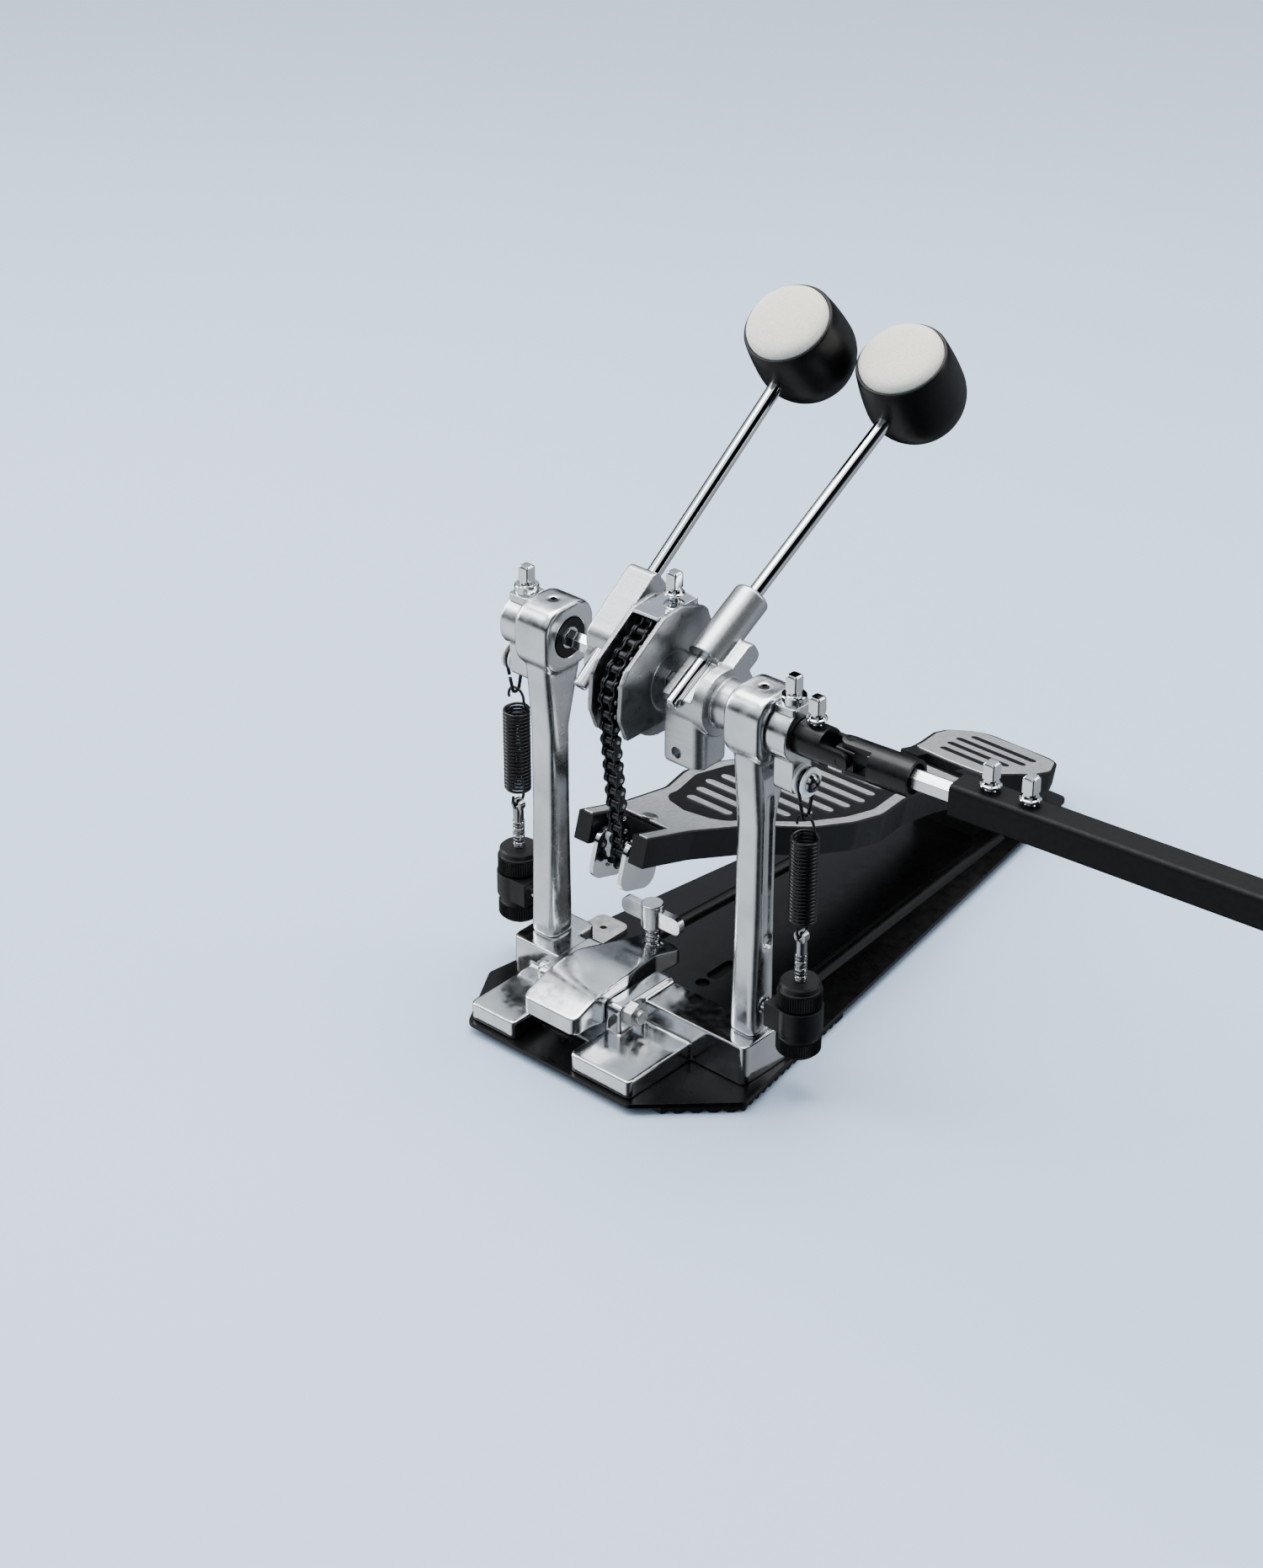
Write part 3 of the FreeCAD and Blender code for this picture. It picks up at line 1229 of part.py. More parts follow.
def second_fasteners(bush_screw):
    z = "axle_height"
    lever_bolt = put(key_bolt("right_lever_bolt"), LEVER_MIDDLE, "0", f"{z} + lever_lug_top")
    yoke_bolt = put(key_bolt("yoke_bolt", "yoke_tube_radius - sleeve_radius"), "yoke_bolt_x", "0",
                    f"{z} + yoke_tube_radius")
    foot_screw = round_bar("foot_screw", "y", ("foot_left + foot_hole_depth", f"{z} - foot_hole_drop"),
                           ("-foot_front + foot_hole_depth - set_screw_length / 2",
                            "-foot_front + foot_hole_depth"), "foot_hole_radius")
    keep("second_fasteners", group("second_fasteners", lever_bolt, yoke_bolt, foot_screw, bush_screw))


# Universal joints and telescopic shaft, drawn along X from a cross centre

def ears(name, axis, low, high, pin_at):
    """Two rounded ears of a yoke, beside the cross, with holes for its pins."""
    pieces = []
    spread = ("-yoke_ear_reach", "yoke_ear_reach")
    for i, side in enumerate((("yoke_ear_in", "yoke_tube_radius"), ("-yoke_tube_radius", "-yoke_ear_in"))):
        spans = {"y": (side, spread), "z": (spread, side)}[axis]
        pieces.append(block(f"{name}_ear_{i}", (low, high), *spans))
        pieces.append(round_bar(f"{name}_ear_end_{i}", axis, (pin_at, "0"), side, "yoke_ear_reach"))
    within = round_bar(name + "_within", "x", ("0", "0"),
                       (f"{low} - 2 * yoke_tube_radius", f"{high} + 2 * yoke_tube_radius"),
                       "yoke_tube_radius")
    return common(name + "_ears", fuse(name + "_ears_rough", *pieces), within)


def ear_holes(name, axis, pin_at):
    return round_bar(name + "_pin_hole", axis, (pin_at, "0"),
                     ("-2 * yoke_tube_radius", "2 * yoke_tube_radius"), "cross_pin_radius + running_gap")


def near_yoke():
    tube = round_bar("near_tube", "x", ("0", "0"), ("yoke_left - cross_x", "yoke_tube_end - cross_x"),
                     "yoke_tube_radius")
    bore = round_bar("near_bore", "x", ("0", "0"),
                     ("yoke_left - cross_x - overrun", "sleeve_right - cross_x"), "sleeve_radius")
    bolt = round_bar("near_bolt_hole", "z", ("yoke_bolt_x - cross_x", "0"), ("0", "2 * yoke_tube_radius"),
                     "key_shank_radius")
    arms = ears("near", "y", "yoke_tube_end - cross_x - overrun", "0", "0")
    solid = cut("near_yoke_level", fuse("near_rough", tube, arms), bore, bolt, ear_holes("near", "y", "0"))
    keep("near_yoke", put(solid, "cross_x", "0", "axle_height"))


def cross(name, at):
    """The spider between two yokes: a block with a pin each way."""
    half = ("-cross_half", "cross_half")
    middle = rounded(name + "_block",
                     block(name + "_cube", (f"{at} - cross_half", f"{at} + cross_half"), half, half),
                     size.cross_half / 4, lambda edge: is_line(edge, X_AXIS))
    pin_share = 0.97
    reach = (f"-{pin_share} * yoke_tube_radius", f"{pin_share} * yoke_tube_radius")
    pins = [round_bar(f"{name}_pin_{axis}", axis, (at, "0"), reach, "cross_pin_radius") for axis in "yz"]
    return fuse(name + "_level", middle, *pins)


def swung(thing):
    return carried(thing, "cross_x", "0", "axle_height", Z_AXIS, "shaft_swing")


def mid_yoke():
    tube = round_bar("mid_tube", "x", ("0", "0"), ("yoke_back", "mid_yoke_end"), "yoke_tube_radius")
    bore = hex_bar("mid_bore", "x", ("0", "0"), ("hex_start", "mid_yoke_end + overrun"), "hex_flats")
    mouth_share = 0.8
    mouth = round_bar("mid_mouth", "x", ("0", "0"), ("mid_yoke_end - overrun", "mid_yoke_end + overrun"),
                      f"{mouth_share} * yoke_tube_radius")
    arms = ears("mid", "z", "0", "yoke_back + overrun", "0")
    keep("mid_yoke",
         swung(cut("mid_yoke_level", fuse("mid_rough", tube, arms), bore, mouth,
                   ear_holes("mid", "z", "0"))))


def drive_tube():
    half = ("-tube_side / 2", "tube_side / 2")
    outer = rounded(
        "tube_soft", block("tube_block", ("tube_start", "tube_end"), half, half), size.tube_round,
        lambda edge: is_line(edge, X_AXIS))
    guide = hex_bar("tube_guide_bore", "x", ("0", "0"),
                    ("tube_start - overrun", "tube_start + tube_guide + overrun"),
                    "hex_flats + 2 * running_gap")
    bore = round_bar("tube_bore", "x", ("0", "0"), ("tube_start + tube_guide", "tube_end - tube_side"),
                     "tube_bore_radius")
    arms = ears("far", "y", "tube_end - overrun", "far_cross_x", "far_cross_x")
    base = round_bar("far_base", "x", ("0", "0"), ("tube_end", "far_cross_x - yoke_back"),
                     "yoke_tube_radius")
    bolts = [round_bar(f"tube_bolt_hole_{i}", "z", (f"tube_bolt_first + {i} * tube_bolt_step", "0"),
                       ("0", "tube_side"), "key_shank_radius") for i in range(2)]
    keep("drive_tube", swung(cut("tube_level", fuse("tube_rough", outer, base, arms), guide, bore,
                                 ear_holes("far", "y", "far_cross_x"), *bolts)))


def tube_key_bolts():
    bolts = [put(key_bolt(f"tube_bolt_{i}", "tube_side / 2 - hex_flats / sqrt(3) - 2 * running_gap"),
                 f"tube_bolt_first + {i} * tube_bolt_step", "0", "tube_side / 2") for i in range(2)]
    keep("tube_key_bolts", swung(group("tube_bolts_level", *bolts)))


def end_yoke():
    at = "far_cross_x"
    tube = round_bar("end_tube", "x", ("0", "0"), (f"{at} + yoke_back", "end_yoke_end"), "yoke_tube_radius")
    arms = ears("end", "z", at, f"{at} + yoke_back + overrun", at)
    bore = round_bar("end_bore", "x", ("0", "0"),
                     ("end_yoke_end - end_bore_depth", "end_yoke_end + overrun"), "end_bore_radius")
    keep("end_yoke",
         swung(cut("end_yoke_level", fuse("end_rough", tube, arms), bore, ear_holes("end", "z", at))))


def shaft():
    near_yoke()
    keep("near_cross", put(cross("near_cross", "0"), "cross_x", "0", "axle_height"))
    mid_yoke()
    keep("hex_rod", swung(hex_bar("hex_rod_level", "x", ("0", "0"), ("hex_start", "hex_end"), "hex_flats")))
    drive_tube()
    tube_key_bolts()
    keep("far_cross", swung(cross("far_cross", "far_cross_x")))
    end_yoke()


# Springs: hook, coil, eye bolt, nuts and bracket

def arc_to(start, tangent, end):
    """The edge that leaves a point along a tangent and ends at another point."""
    chord = end - start
    line = Vector(chord).normalize()
    side = tangent - line * tangent.dot(line)
    if side.Length < 1e-6:
        return Part.LineSegment(start, end).toShape()
    half_angle = math.acos(max(-1, min(1, tangent.dot(line)))) / 2
    middle = start + chord * 0.5 + side.normalize() * (chord.Length / 2 * math.tan(half_angle))
    return Part.Arc(start, middle, end).toShape()


def biarc(start, start_tangent, end, end_tangent):
    """Two arcs that join two points and keep both tangents."""
    gap = end - start
    both = start_tangent + end_tangent
    bend = 2 * (1 - start_tangent.dot(end_tangent))
    reach = gap.dot(both)
    if bend < 1e-9:
        handle = gap.dot(gap) / (2 * reach)
    else:
        handle = (math.sqrt(reach * reach + bend * gap.dot(gap)) - reach) / bend
    middle = (start + end + (start_tangent - end_tangent) * handle) * 0.5
    middle_tangent = (middle - (start + start_tangent * handle)).normalize()
    return [arc_to(start, start_tangent, middle), arc_to(middle, middle_tangent, end)]


def tube_along(stations, wire):
    """One unbroken wire through points with tangents."""
    edges = []
    for (point, tangent), (next_point, next_tangent) in zip(stations, stations[1:]):
        edges += biarc(point, tangent, next_point, next_tangent)
    path = Part.Wire(edges)
    profile = Part.Wire(Part.Circle(stations[0][0], stations[0][1], wire / 2).toShape())
    pipe = Part.BRepOffsetAPI.MakePipeShell(path)
    pipe.add(profile)
    pipe.build()
    pipe.makeSolid()
    return pipe.shape(), path


def least_gap(path, wire):
    """The least clear distance of a wire to its own other turns, past the points next along it."""
    points = path.discretize(Distance=wire / 2)
    skip = 8
    nearest = min((points[i] - points[j]).Length for i in range(len(points))
                  for j in range(i + skip, len(points)))
    return nearest - wire


def circle_stations(centre, radius, first, second, start, stop, count):
    """Points and tangents round a circle, from one angle to another, between two directions."""
    stations = []
    for i in range(count + 1):
        angle = math.radians(start + (stop - start) * i / count)
        out = first * math.cos(angle) + second * math.sin(angle)
        forward = second * math.cos(angle) - first * math.sin(angle)
        stations.append((centre + out * radius, forward if stop > start else forward * -1))
    return stations


def spring_shape():
    """A close coil with a loop at each end, on the Z axis from the floor."""
    coil = (size.spring_outer - size.spring_wire) / 2
    hook_low = size.axle_height - size.lever_drop - size.hook_drop
    eye = size.eye_height
    low_centre = Vector(0, 0, eye + size.low_loop_radius)
    stations = circle_stations(low_centre, size.low_loop_radius, Y_AXIS, Z_AXIS,
                               size.low_loop_start_angle, 360, 4)
    lead = size.loop_lead_angle
    bottom, top = eye + size.coil_low_rise, hook_low - size.coil_high_drop
    turns = int((top - bottom) / size.spring_pitch)
    half_turns = 2 * turns
    total = 360 * turns + 90 - 2 * lead
    rise = (top - bottom) / total
    climb = rise * 360 / (2 * math.pi * coil)
    for i in range(half_turns + 1):
        swept = total * i / half_turns
        angle = math.radians(lead + swept)
        point = Vector(coil * math.sin(angle), coil * math.cos(angle), bottom + rise * swept)
        stations.append((point, Vector(math.cos(angle), -math.sin(angle), climb).normalize()))
    seat = hook_low + size.hook_wire / 2 + size.hook_gap + size.spring_wire / 2
    high_centre = Vector(0, 0, seat - size.high_loop_radius)
    stations += circle_stations(high_centre, size.high_loop_radius, X_AXIS, Z_AXIS, 0,
                                size.high_loop_end_angle, 4)
    shape, path = tube_along(stations, size.spring_wire)
    print("least gap in a spring:", round(least_gap(path, size.spring_wire), 3), "mm")
    return shape


def hook_shape():
    """A wire over the bush whose two legs meet in a small bow, open in one leg, on the bush's axis."""
    bow = size.bush_core_radius + size.hook_gap + size.hook_wire / 2
    small = size.hook_bottom_radius
    drop = size.hook_drop - small
    tilt = math.degrees(math.asin((bow - small) / drop))
    low = Vector(0, 0, -drop)
    top = circle_stations(Vector(), bow, Y_AXIS, Z_AXIS, 180 + tilt, -tilt, 4)
    bottom = circle_stations(low, small, Y_AXIS, Z_AXIS, -tilt, tilt - 180, 3)
    leg = top[0][0] - bottom[-1][0]
    upward = Vector(leg).normalize()
    middle = bottom[-1][0] + leg * 0.5
    start = (middle + upward * (size.hook_opening / 2), upward)
    stop = (middle - upward * (size.hook_opening / 2), upward)
    shape, path = tube_along([start] + top + bottom + [stop], size.hook_wire)
    print("least gap in a hook:", round(least_gap(path, size.hook_wire), 3), "mm")
    return shape


def springs():
    spring = spring_shape()
    hook = hook_shape()
    across = size.post_x + size.head_thick / 2 + size.lever_gap + size.lever_thick
    across += size.bush_flange_thick + size.bush_groove / 2
    for side, sign in SIDES:
        x = float(sign) * across
        keep(side + "_spring", still(side + "_spring", spring, Placement(Vector(x, 0, 0), Rotation())))
        bush_place = Vector(x, 0, size.axle_height - size.lever_drop)
        keep(side + "_hook", still(side + "_hook", hook, Placement(bush_place, Rotation())))


def adjuster(side, sign):
    x = f"{sign} * {SPRING_X}"
    place = (x, "0")
    shank = round_bar(side + "_eye_shank", "z", place, ("eye_bolt_bottom", "eye_height - eye_hole_radius"),
                      "eye_bolt_radius")
    eye = round_bar(side + "_eye_disc", "y", (x, "eye_height"), ("-eye_half", "eye_half"), "eye_radius")
    hole = round_bar(side + "_eye_hole", "y", (x, "eye_height"),
                     ("-eye_half - overrun", "eye_half + overrun"), "eye_hole_radius")
    keep(side + "_eye_bolt", cut(side + "_eye_bolt", fuse(side + "_eye_rough", shank, eye), hole))

    def nut(name, low, high):
        body = round_bar(name + "_drum", "z", place, (low, high), "nut_radius")
        bore = round_bar(name + "_bore", "z", place, (f"{low} - overrun", f"{high} + overrun"),
                         "eye_bolt_radius + running_gap")
        return cut(name, body, bore)

    keep(side + "_lower_nut", nut(side + "_lower_nut", "lower_nut_bottom", "lower_nut_top"))
    lock = nut(side + "_lock_nut", "bracket_top", "lock_nut_top")
    drum = round_bar(side + "_bracket_drum", "z", place, ("bracket_bottom", "bracket_top"),
                     "bracket_radius")
    inner = f"{sign} * bracket_ear_x"
    span = (inner, x) if side == "right" else (x, inner)
    ear = block(side + "_bracket_ear", span, ("-bracket_ear_front", "bracket_ear_rear"),
                ("bracket_bottom", "bracket_top"))
    bore = round_bar(side + "_bracket_bore", "z", place,
                     ("bracket_bottom - overrun", "bracket_top + overrun"),
                     "eye_bolt_radius + running_gap")
    pin_hole = round_bar(side + "_ear_pin_hole", "x", ("bracket_pin_y", "bracket_pin_height"),
                         pin_span(sign), "bracket_pin_radius + running_gap")
    bracket = cut(side + "_bracket", fuse(side + "_bracket_rough", drum, ear), bore, pin_hole)
    pin = round_bar(side + "_bracket_pin", "x", ("bracket_pin_y", "bracket_pin_height"), pin_span(sign),
                    "bracket_pin_radius")
    return lock, bracket, pin


# Hoop clamp

def clamp_lever():
    profile = (("lever_tail", "lever_tail_top"), ("lever_shoulder", "lever_crown - lever_shoulder"),
               ("-lever_crown_back", "lever_crown"),
               ("-lever_crown_front", "lever_crown - lever_shoulder / 2"), ("-jaw_front", "jaw_top"),
               ("-jaw_front", "jaw_bottom"), ("-jaw_heel", "jaw_bottom"),
               ("-pivot_y - 2 * pivot_radius", "lever_belly"),
               ("-pivot_y + 2 * pivot_radius", "lever_belly"),
               ("0", "lever_tail_bottom + pivot_radius / 2"), ("lever_tail", "lever_tail_bottom"))
    front, rear = -size.lever_crown_front - size.running_gap, size.lever_shoulder + size.running_gap
    crown = lambda p: front < p.y < rear and p.z > size.pivot_height + size.pivot_radius
    side_view = put(slab("lever_side", "YZ_Plane", profile, "2 * clamp_gap_half", "crown_round", crown),
                    "clamp_x - clamp_gap_half")
    half = "(clamp_gap_half - lever_clear)"
    plan = (("-" + half, "-jaw_front"), (half, "-jaw_front"), (half, "-lever_crown_back"),
            ("lever_tail_half", "lever_shoulder"), ("lever_tail_half", "lever_tail"),
            ("-lever_tail_half", "lever_tail"), ("-lever_tail_half", "lever_shoulder"),
            ("-" + half, "-lever_crown_back"))
    plan_view = put(slab("lever_plan", "XY_Plane", plan, "2 * lever_crown", "lever_round"), "clamp_x")
    pivot = round_bar("lever_pivot_hole", "x", ("-pivot_y", "pivot_height"),
                      ("clamp_x - 2 * clamp_gap_half", "clamp_x + 2 * clamp_gap_half"),
                      "pivot_radius + running_gap")
    hole = round_bar("lever_wing_hole", "z", ("clamp_x", "wing_y"), ("0", "2 * lever_crown"),
                     "wing_shank_radius + wing_hole_gap")
    keep("clamp_lever", cut("clamp_lever", common("lever_rough", side_view, plan_view), pivot, hole))


def clamp_pivot_bolt():
    place = ("-pivot_y", "pivot_height")
    left = "clamp_x - clamp_gap_half - ear_thick"
    right = "clamp_x + clamp_gap_half + ear_thick"
    shank = round_bar("pivot_shank", "x", place, (left, f"{right} + pivot_nut_thick + pivot_end"),
                      "pivot_radius")
    head = round_bar("pivot_head", "x", place, (f"{left} - pivot_radius", left), "pivot_head_radius")
    nut_rough = hex_bar("pivot_nut_hex", "x", place, (right, f"{right} + pivot_nut_thick"),
                        "pivot_nut_flats")
    nut_bore = round_bar("pivot_nut_bore", "x", place,
                         (f"{right} - overrun", f"{right} + 2 * pivot_nut_thick"), "pivot_radius")
    keep("clamp_pivot_bolt",
         group("clamp_pivot_bolt", fuse("pivot_bolt", shank, head),
               cut("pivot_nut", nut_rough, nut_bore)))


def wing_bolt():
    place = ("clamp_x", "wing_y")
    foot = round_bar("wing_foot", "z", place, (PLATE_TOP, f"{PLATE_TOP} + wing_foot_thick"),
                     "wing_foot_radius")
    shank = round_bar("wing_shank", "z", place, (PLATE_TOP, "wing_boss_bottom"), "wing_shank_radius")
    boss = rounded("wing_boss",
                   round_bar("wing_boss_drum", "z", place, ("wing_boss_bottom", "wing_boss_top"),
                             "wing_boss_radius"), size.wing_boss_round, lambda edge: is_rim(edge, Z_AXIS))
    blades = rounded_block("wing_blades", ("clamp_x - wing_half_span", "clamp_x + wing_half_span"),
                           ("wing_y - wing_thick / 2", "wing_y + wing_thick / 2"),
                           ("wing_bottom", "wing_top"), size.wing_round, Y_AXIS)
    keep("wing_bolt", fuse("wing_bolt", foot, shank, boss, blades))


base_plate()
grip_mats()
frame_casting()
anchor_plate()
for side_name, side_sign in SIDES:
    post(side_name, side_sign)
post_bearings()
heel_plate()
hinge_pin()
footboard()
chain()
chain_stirrup()
main_axle()
cam()
cam_lining()
chain_anchor_plate()
beater("main", "-1", "main_lean", "main_rod_offset", "main_rod_low", "main_head_height")
beater("second", "1", "second_lean", "second_rod_offset", "second_rod_low", "second_head_height")
main_hub()
for side_name, side_sign in SIDES:
    spring_lever(side_name, side_sign)
main_fasteners(bush("left", "-1"))
second_sleeve()
second_hub()
second_fasteners(bush("right", "1"))
shaft()
springs()
locks, brackets, pins = zip(*(adjuster(side_name, side_sign) for side_name, side_sign in SIDES))
keep("lock_nuts", group("lock_nuts", *locks))
keep("spring_brackets", group("spring_brackets", *brackets))
keep("bracket_pins", group("bracket_pins", *pins))
clamp_lever()
clamp_pivot_bolt()
wing_bolt()
heel_screws()

doc.recompute()
for thing in doc.Objects:
    if any(word in thing.State for word in ("Invalid", "Error")):
        raise RuntimeError(f"{thing.Name} failed: {thing.State}")
for node, thing in nodes.items():
    if thing.Shape.isNull() or not thing.Shape.isValid() or not thing.Shape.Solids:
        raise RuntimeError(f"{node} has no sound solid")

os.makedirs("parts", exist_ok=True)
for node, thing in nodes.items():
    thing.Shape.exportStep(f"parts/{node}.step")
print(len(nodes), "nodes written")
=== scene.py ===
# %% [markdown]
# A double bass drum pedal, dressed for a studio picture. The solid model comes first, as a fixed frame in
# metres. Everything made below is laid on that frame, and each piece rides on the body that carries it, so
# the pedal still moves when its joints do.

# %% Load the solid model
import json
import math

import bmesh
import bpy
from mathutils import Matrix, Vector


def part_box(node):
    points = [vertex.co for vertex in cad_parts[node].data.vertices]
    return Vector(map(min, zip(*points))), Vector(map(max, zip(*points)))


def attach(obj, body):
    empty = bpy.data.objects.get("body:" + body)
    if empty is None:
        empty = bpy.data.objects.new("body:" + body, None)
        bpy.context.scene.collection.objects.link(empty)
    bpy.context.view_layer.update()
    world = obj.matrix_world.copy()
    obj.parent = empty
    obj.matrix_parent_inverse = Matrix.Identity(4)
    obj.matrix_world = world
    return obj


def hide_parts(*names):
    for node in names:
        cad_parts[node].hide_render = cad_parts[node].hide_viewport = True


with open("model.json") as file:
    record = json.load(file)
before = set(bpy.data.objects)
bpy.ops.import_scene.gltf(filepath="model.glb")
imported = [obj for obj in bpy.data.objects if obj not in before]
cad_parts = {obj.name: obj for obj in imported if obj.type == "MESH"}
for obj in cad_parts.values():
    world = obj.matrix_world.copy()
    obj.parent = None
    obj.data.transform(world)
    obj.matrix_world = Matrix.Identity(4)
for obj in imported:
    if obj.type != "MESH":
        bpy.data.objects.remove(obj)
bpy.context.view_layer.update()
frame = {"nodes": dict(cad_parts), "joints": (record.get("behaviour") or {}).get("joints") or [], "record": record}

MM = 0.001

# %% [markdown]
# Small helpers. Colours are written as sRGB hex, the way a designer picks them, and one function turns them
# into the linear values that shaders need. One more function adds a node, sets it and links it, for shaders
# and for geometry trees alike, so the trees below read from top to bottom.

# %% Helpers for colours, nodes and meshes
BODY_OF = {node: body for body, nodes in frame["record"]["behaviour"]["bodies"].items() for node in nodes}
SLOT_OF = {part["node"]: part["material_slot"] for part in frame["record"]["subparts"]}
JOINT_AT = {joint["name"]: Vector(joint["pos_m"]) for joint in frame["joints"] if joint.get("pos_m")}
CREASE = math.radians(35)
SIDES = ("left", "right")


def linear(code):
    """An sRGB hex colour as linear RGBA."""
    parts = [int(code[i:i + 2], 16) / 255 for i in (1, 3, 5)]
    return [c / 12.92 if c <= 0.04045 else ((c + 0.055) / 1.055) ** 2.4 for c in parts] + [1.0]


def add(tree, kind, inputs=None, **settings):
    """Add a node, set its properties, then set or link its inputs."""
    made = tree.nodes.new(kind)
    for name, value in settings.items():
        setattr(made, name, value)
    socket = bpy.types.NodeSocket
    for name, value in (inputs or {}).items():
        several = isinstance(value, list) and isinstance(value[0], socket)
        for one in value if several else [value]:
            if isinstance(one, socket):
                tree.links.new(one, made.inputs[name])
            else:
                made.inputs[name].default_value = one
    return made


def new_object(name, data):
    made = bpy.data.objects.new(name, data)
    bpy.context.scene.collection.objects.link(made)
    return made


def mesh_of(work, name):
    """The mesh of a finished bmesh, which is freed."""
    mesh = bpy.data.meshes.new(name)
    work.to_mesh(mesh)
    work.free()
    return mesh


def skin(work, rings):
    """Faces between rings of equal count and over both ends, pointing outwards."""
    count = len(rings[0])
    for near, far in zip(rings, rings[1:]):
        for i in range(count):
            j = (i + 1) % count
            work.faces.new((near[i], near[j], far[j], far[i]))
    work.faces.new(rings[0][::-1])
    work.faces.new(rings[-1])
    bmesh.ops.recalc_face_normals(work, faces=work.faces)


# %% Helpers for finished pieces


def settle(piece, body, slot, *nodes):
    """Put a finished piece on the body that carries it and hide the solids it stands for. The slot is not used."""
    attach(piece, body)
    if nodes:
        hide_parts(*nodes)
    return piece


def stands_for(node, piece):
    """Settle a piece in the place of one solid."""
    return settle(piece, BODY_OF[node], SLOT_OF[node], node)


def plain_mesh(made):
    """Turn an object's evaluated form into its own plain mesh and drop the modifiers."""
    bpy.context.view_layer.update()
    evaluated = made.evaluated_get(bpy.context.evaluated_depsgraph_get())
    mesh = bpy.data.meshes.new_from_object(evaluated)
    made.modifiers.clear()
    made.data = mesh
    return made


def smooth(mesh):
    """Shade curved faces smooth and keep true corners sharp."""
    mesh.shade_smooth()
    mesh.set_sharp_from_angle(angle=CREASE)
    return mesh


# %% Helpers for turned and moved meshes


def lathe(profile, segments=32, closed=False):
    """A mesh turned about Z from (radius, height) pairs in millimetres. A third number limits the corners
    of a square section, and a zero radius closes an end."""
    work = bmesh.new()
    rings = []
    for radius, height, *corner in profile:
        ring = []
        for i in range(segments if radius else 1):
            turn = 2 * math.pi * (i + 0.5) / segments
            c, s = math.cos(turn), math.sin(turn)
            out = min(radius / max(abs(c), abs(s)), corner[0]) if corner else radius
            ring.append(work.verts.new((out * c * MM, out * s * MM, height * MM)))
        rings.append(ring)
    pairs = list(zip(rings, rings[1:])) + ([(rings[-1], rings[0])] if closed else [])
    for low, high in pairs:
        for i in range(segments):
            j = (i + 1) % segments
            corners = [low[i % len(low)], low[j % len(low)], high[j % len(high)], high[i % len(high)]]
            work.faces.new(list(dict.fromkeys(corners)))
    bmesh.ops.recalc_face_normals(work, faces=work.faces)
    return smooth(mesh_of(work, "turned"))


def joined(*meshes):
    """One mesh that holds several."""
    work = bmesh.new()
    for mesh in meshes:
        work.from_mesh(mesh)
    whole = mesh_of(work, "joined")
    for material in meshes[0].materials:
        whole.materials.append(material)
    return smooth(whole)


def moved(mesh, *place):
    """A copy of a mesh, put through matrices from the last to the first."""
    copy = mesh.copy()
    for matrix in reversed(place):
        copy.transform(matrix)
    return copy


def shift(x, y, z):
    return Matrix.Translation((x * MM, y * MM, z * MM))


def spin(degrees, axis):
    return Matrix.Rotation(math.radians(degrees), 4, axis)


# %% [markdown]
# Metals. Chrome plate is a thin bright layer over polished steel: nearly a mirror, with faint wiping marks
# that only change its roughness. The castings are aluminium, polished by hand on a wheel, so they are a
# little wavy and less sharp. Brushed aluminium has fine parallel scratches, drawn here 0.3 to 0.5 mm wide
# so that they show.

# %% Helpers for finishes
# Most of a noise lies between these two values.
NOISE_LOW, NOISE_HIGH = 0.3, 0.7
# Clouds of tone on a metal are four times as wide as its wiping marks.
TONE_SPREAD, METAL_BUMP = 4, 0.35


def surface(name):
    """A material with a bare Principled shader; gives the tree, the shader and Object coordinates."""
    material = bpy.data.materials.new(name)
    material.use_nodes = True
    tree = material.node_tree
    shader = tree.nodes["Principled BSDF"]
    place = add(tree, "ShaderNodeTexCoord").outputs["Object"]
    return material, tree, shader, place


def mottled(tree, place, size_mm, low=0.0, high=1.0, stretch=(1, 1, 1), detail=3.0):
    """A noise of a real size, mapped to a range of values."""
    scale = [axis / (size_mm * MM) for axis in stretch]
    spread = add(tree, "ShaderNodeMapping", {"Vector": place, "Scale": scale})
    noise = add(tree, "ShaderNodeTexNoise", {"Vector": spread.outputs[0], "Scale": 1.0, "Detail": detail})
    ranged = add(tree, "ShaderNodeMapRange", {"Value": noise.outputs[0], "From Min": NOISE_LOW,
                                              "From Max": NOISE_HIGH, "To Min": low, "To Max": high})
    return ranged.outputs[0]


def grained(tree, shader, tone, dark, light, relief=None, depth_mm=0.0, strength=0.0):
    """Give a shader its colours between two hex values and, where there is one, its relief."""
    mix = add(tree, "ShaderNodeMix", {0: tone, 6: linear(dark), 7: linear(light)}, data_type="RGBA")
    tree.links.new(mix.outputs[2], shader.inputs["Base Color"])
    if relief is not None:
        bump = add(tree, "ShaderNodeBump",
                   {"Height": relief, "Distance": depth_mm * MM, "Strength": strength})
        tree.links.new(bump.outputs[0], shader.inputs["Normal"])


def metal(name, dark, light, rough_low, rough_high, wear_mm, bump_mm=0.0, stretch=(1, 1, 1)):
    """A bare or plated metal whose roughness and tone vary a little over the surface."""
    material, tree, shader, place = surface(name)
    shader.inputs["Metallic"].default_value = 1.0
    rough = mottled(tree, place, wear_mm, rough_low, rough_high, stretch)
    tree.links.new(rough, shader.inputs["Roughness"])
    tone = mottled(tree, place, wear_mm * TONE_SPREAD, stretch=stretch)
    relief = mottled(tree, place, wear_mm, stretch=stretch) if bump_mm else None
    grained(tree, shader, tone, dark, light, relief, bump_mm, METAL_BUMP)
    return material


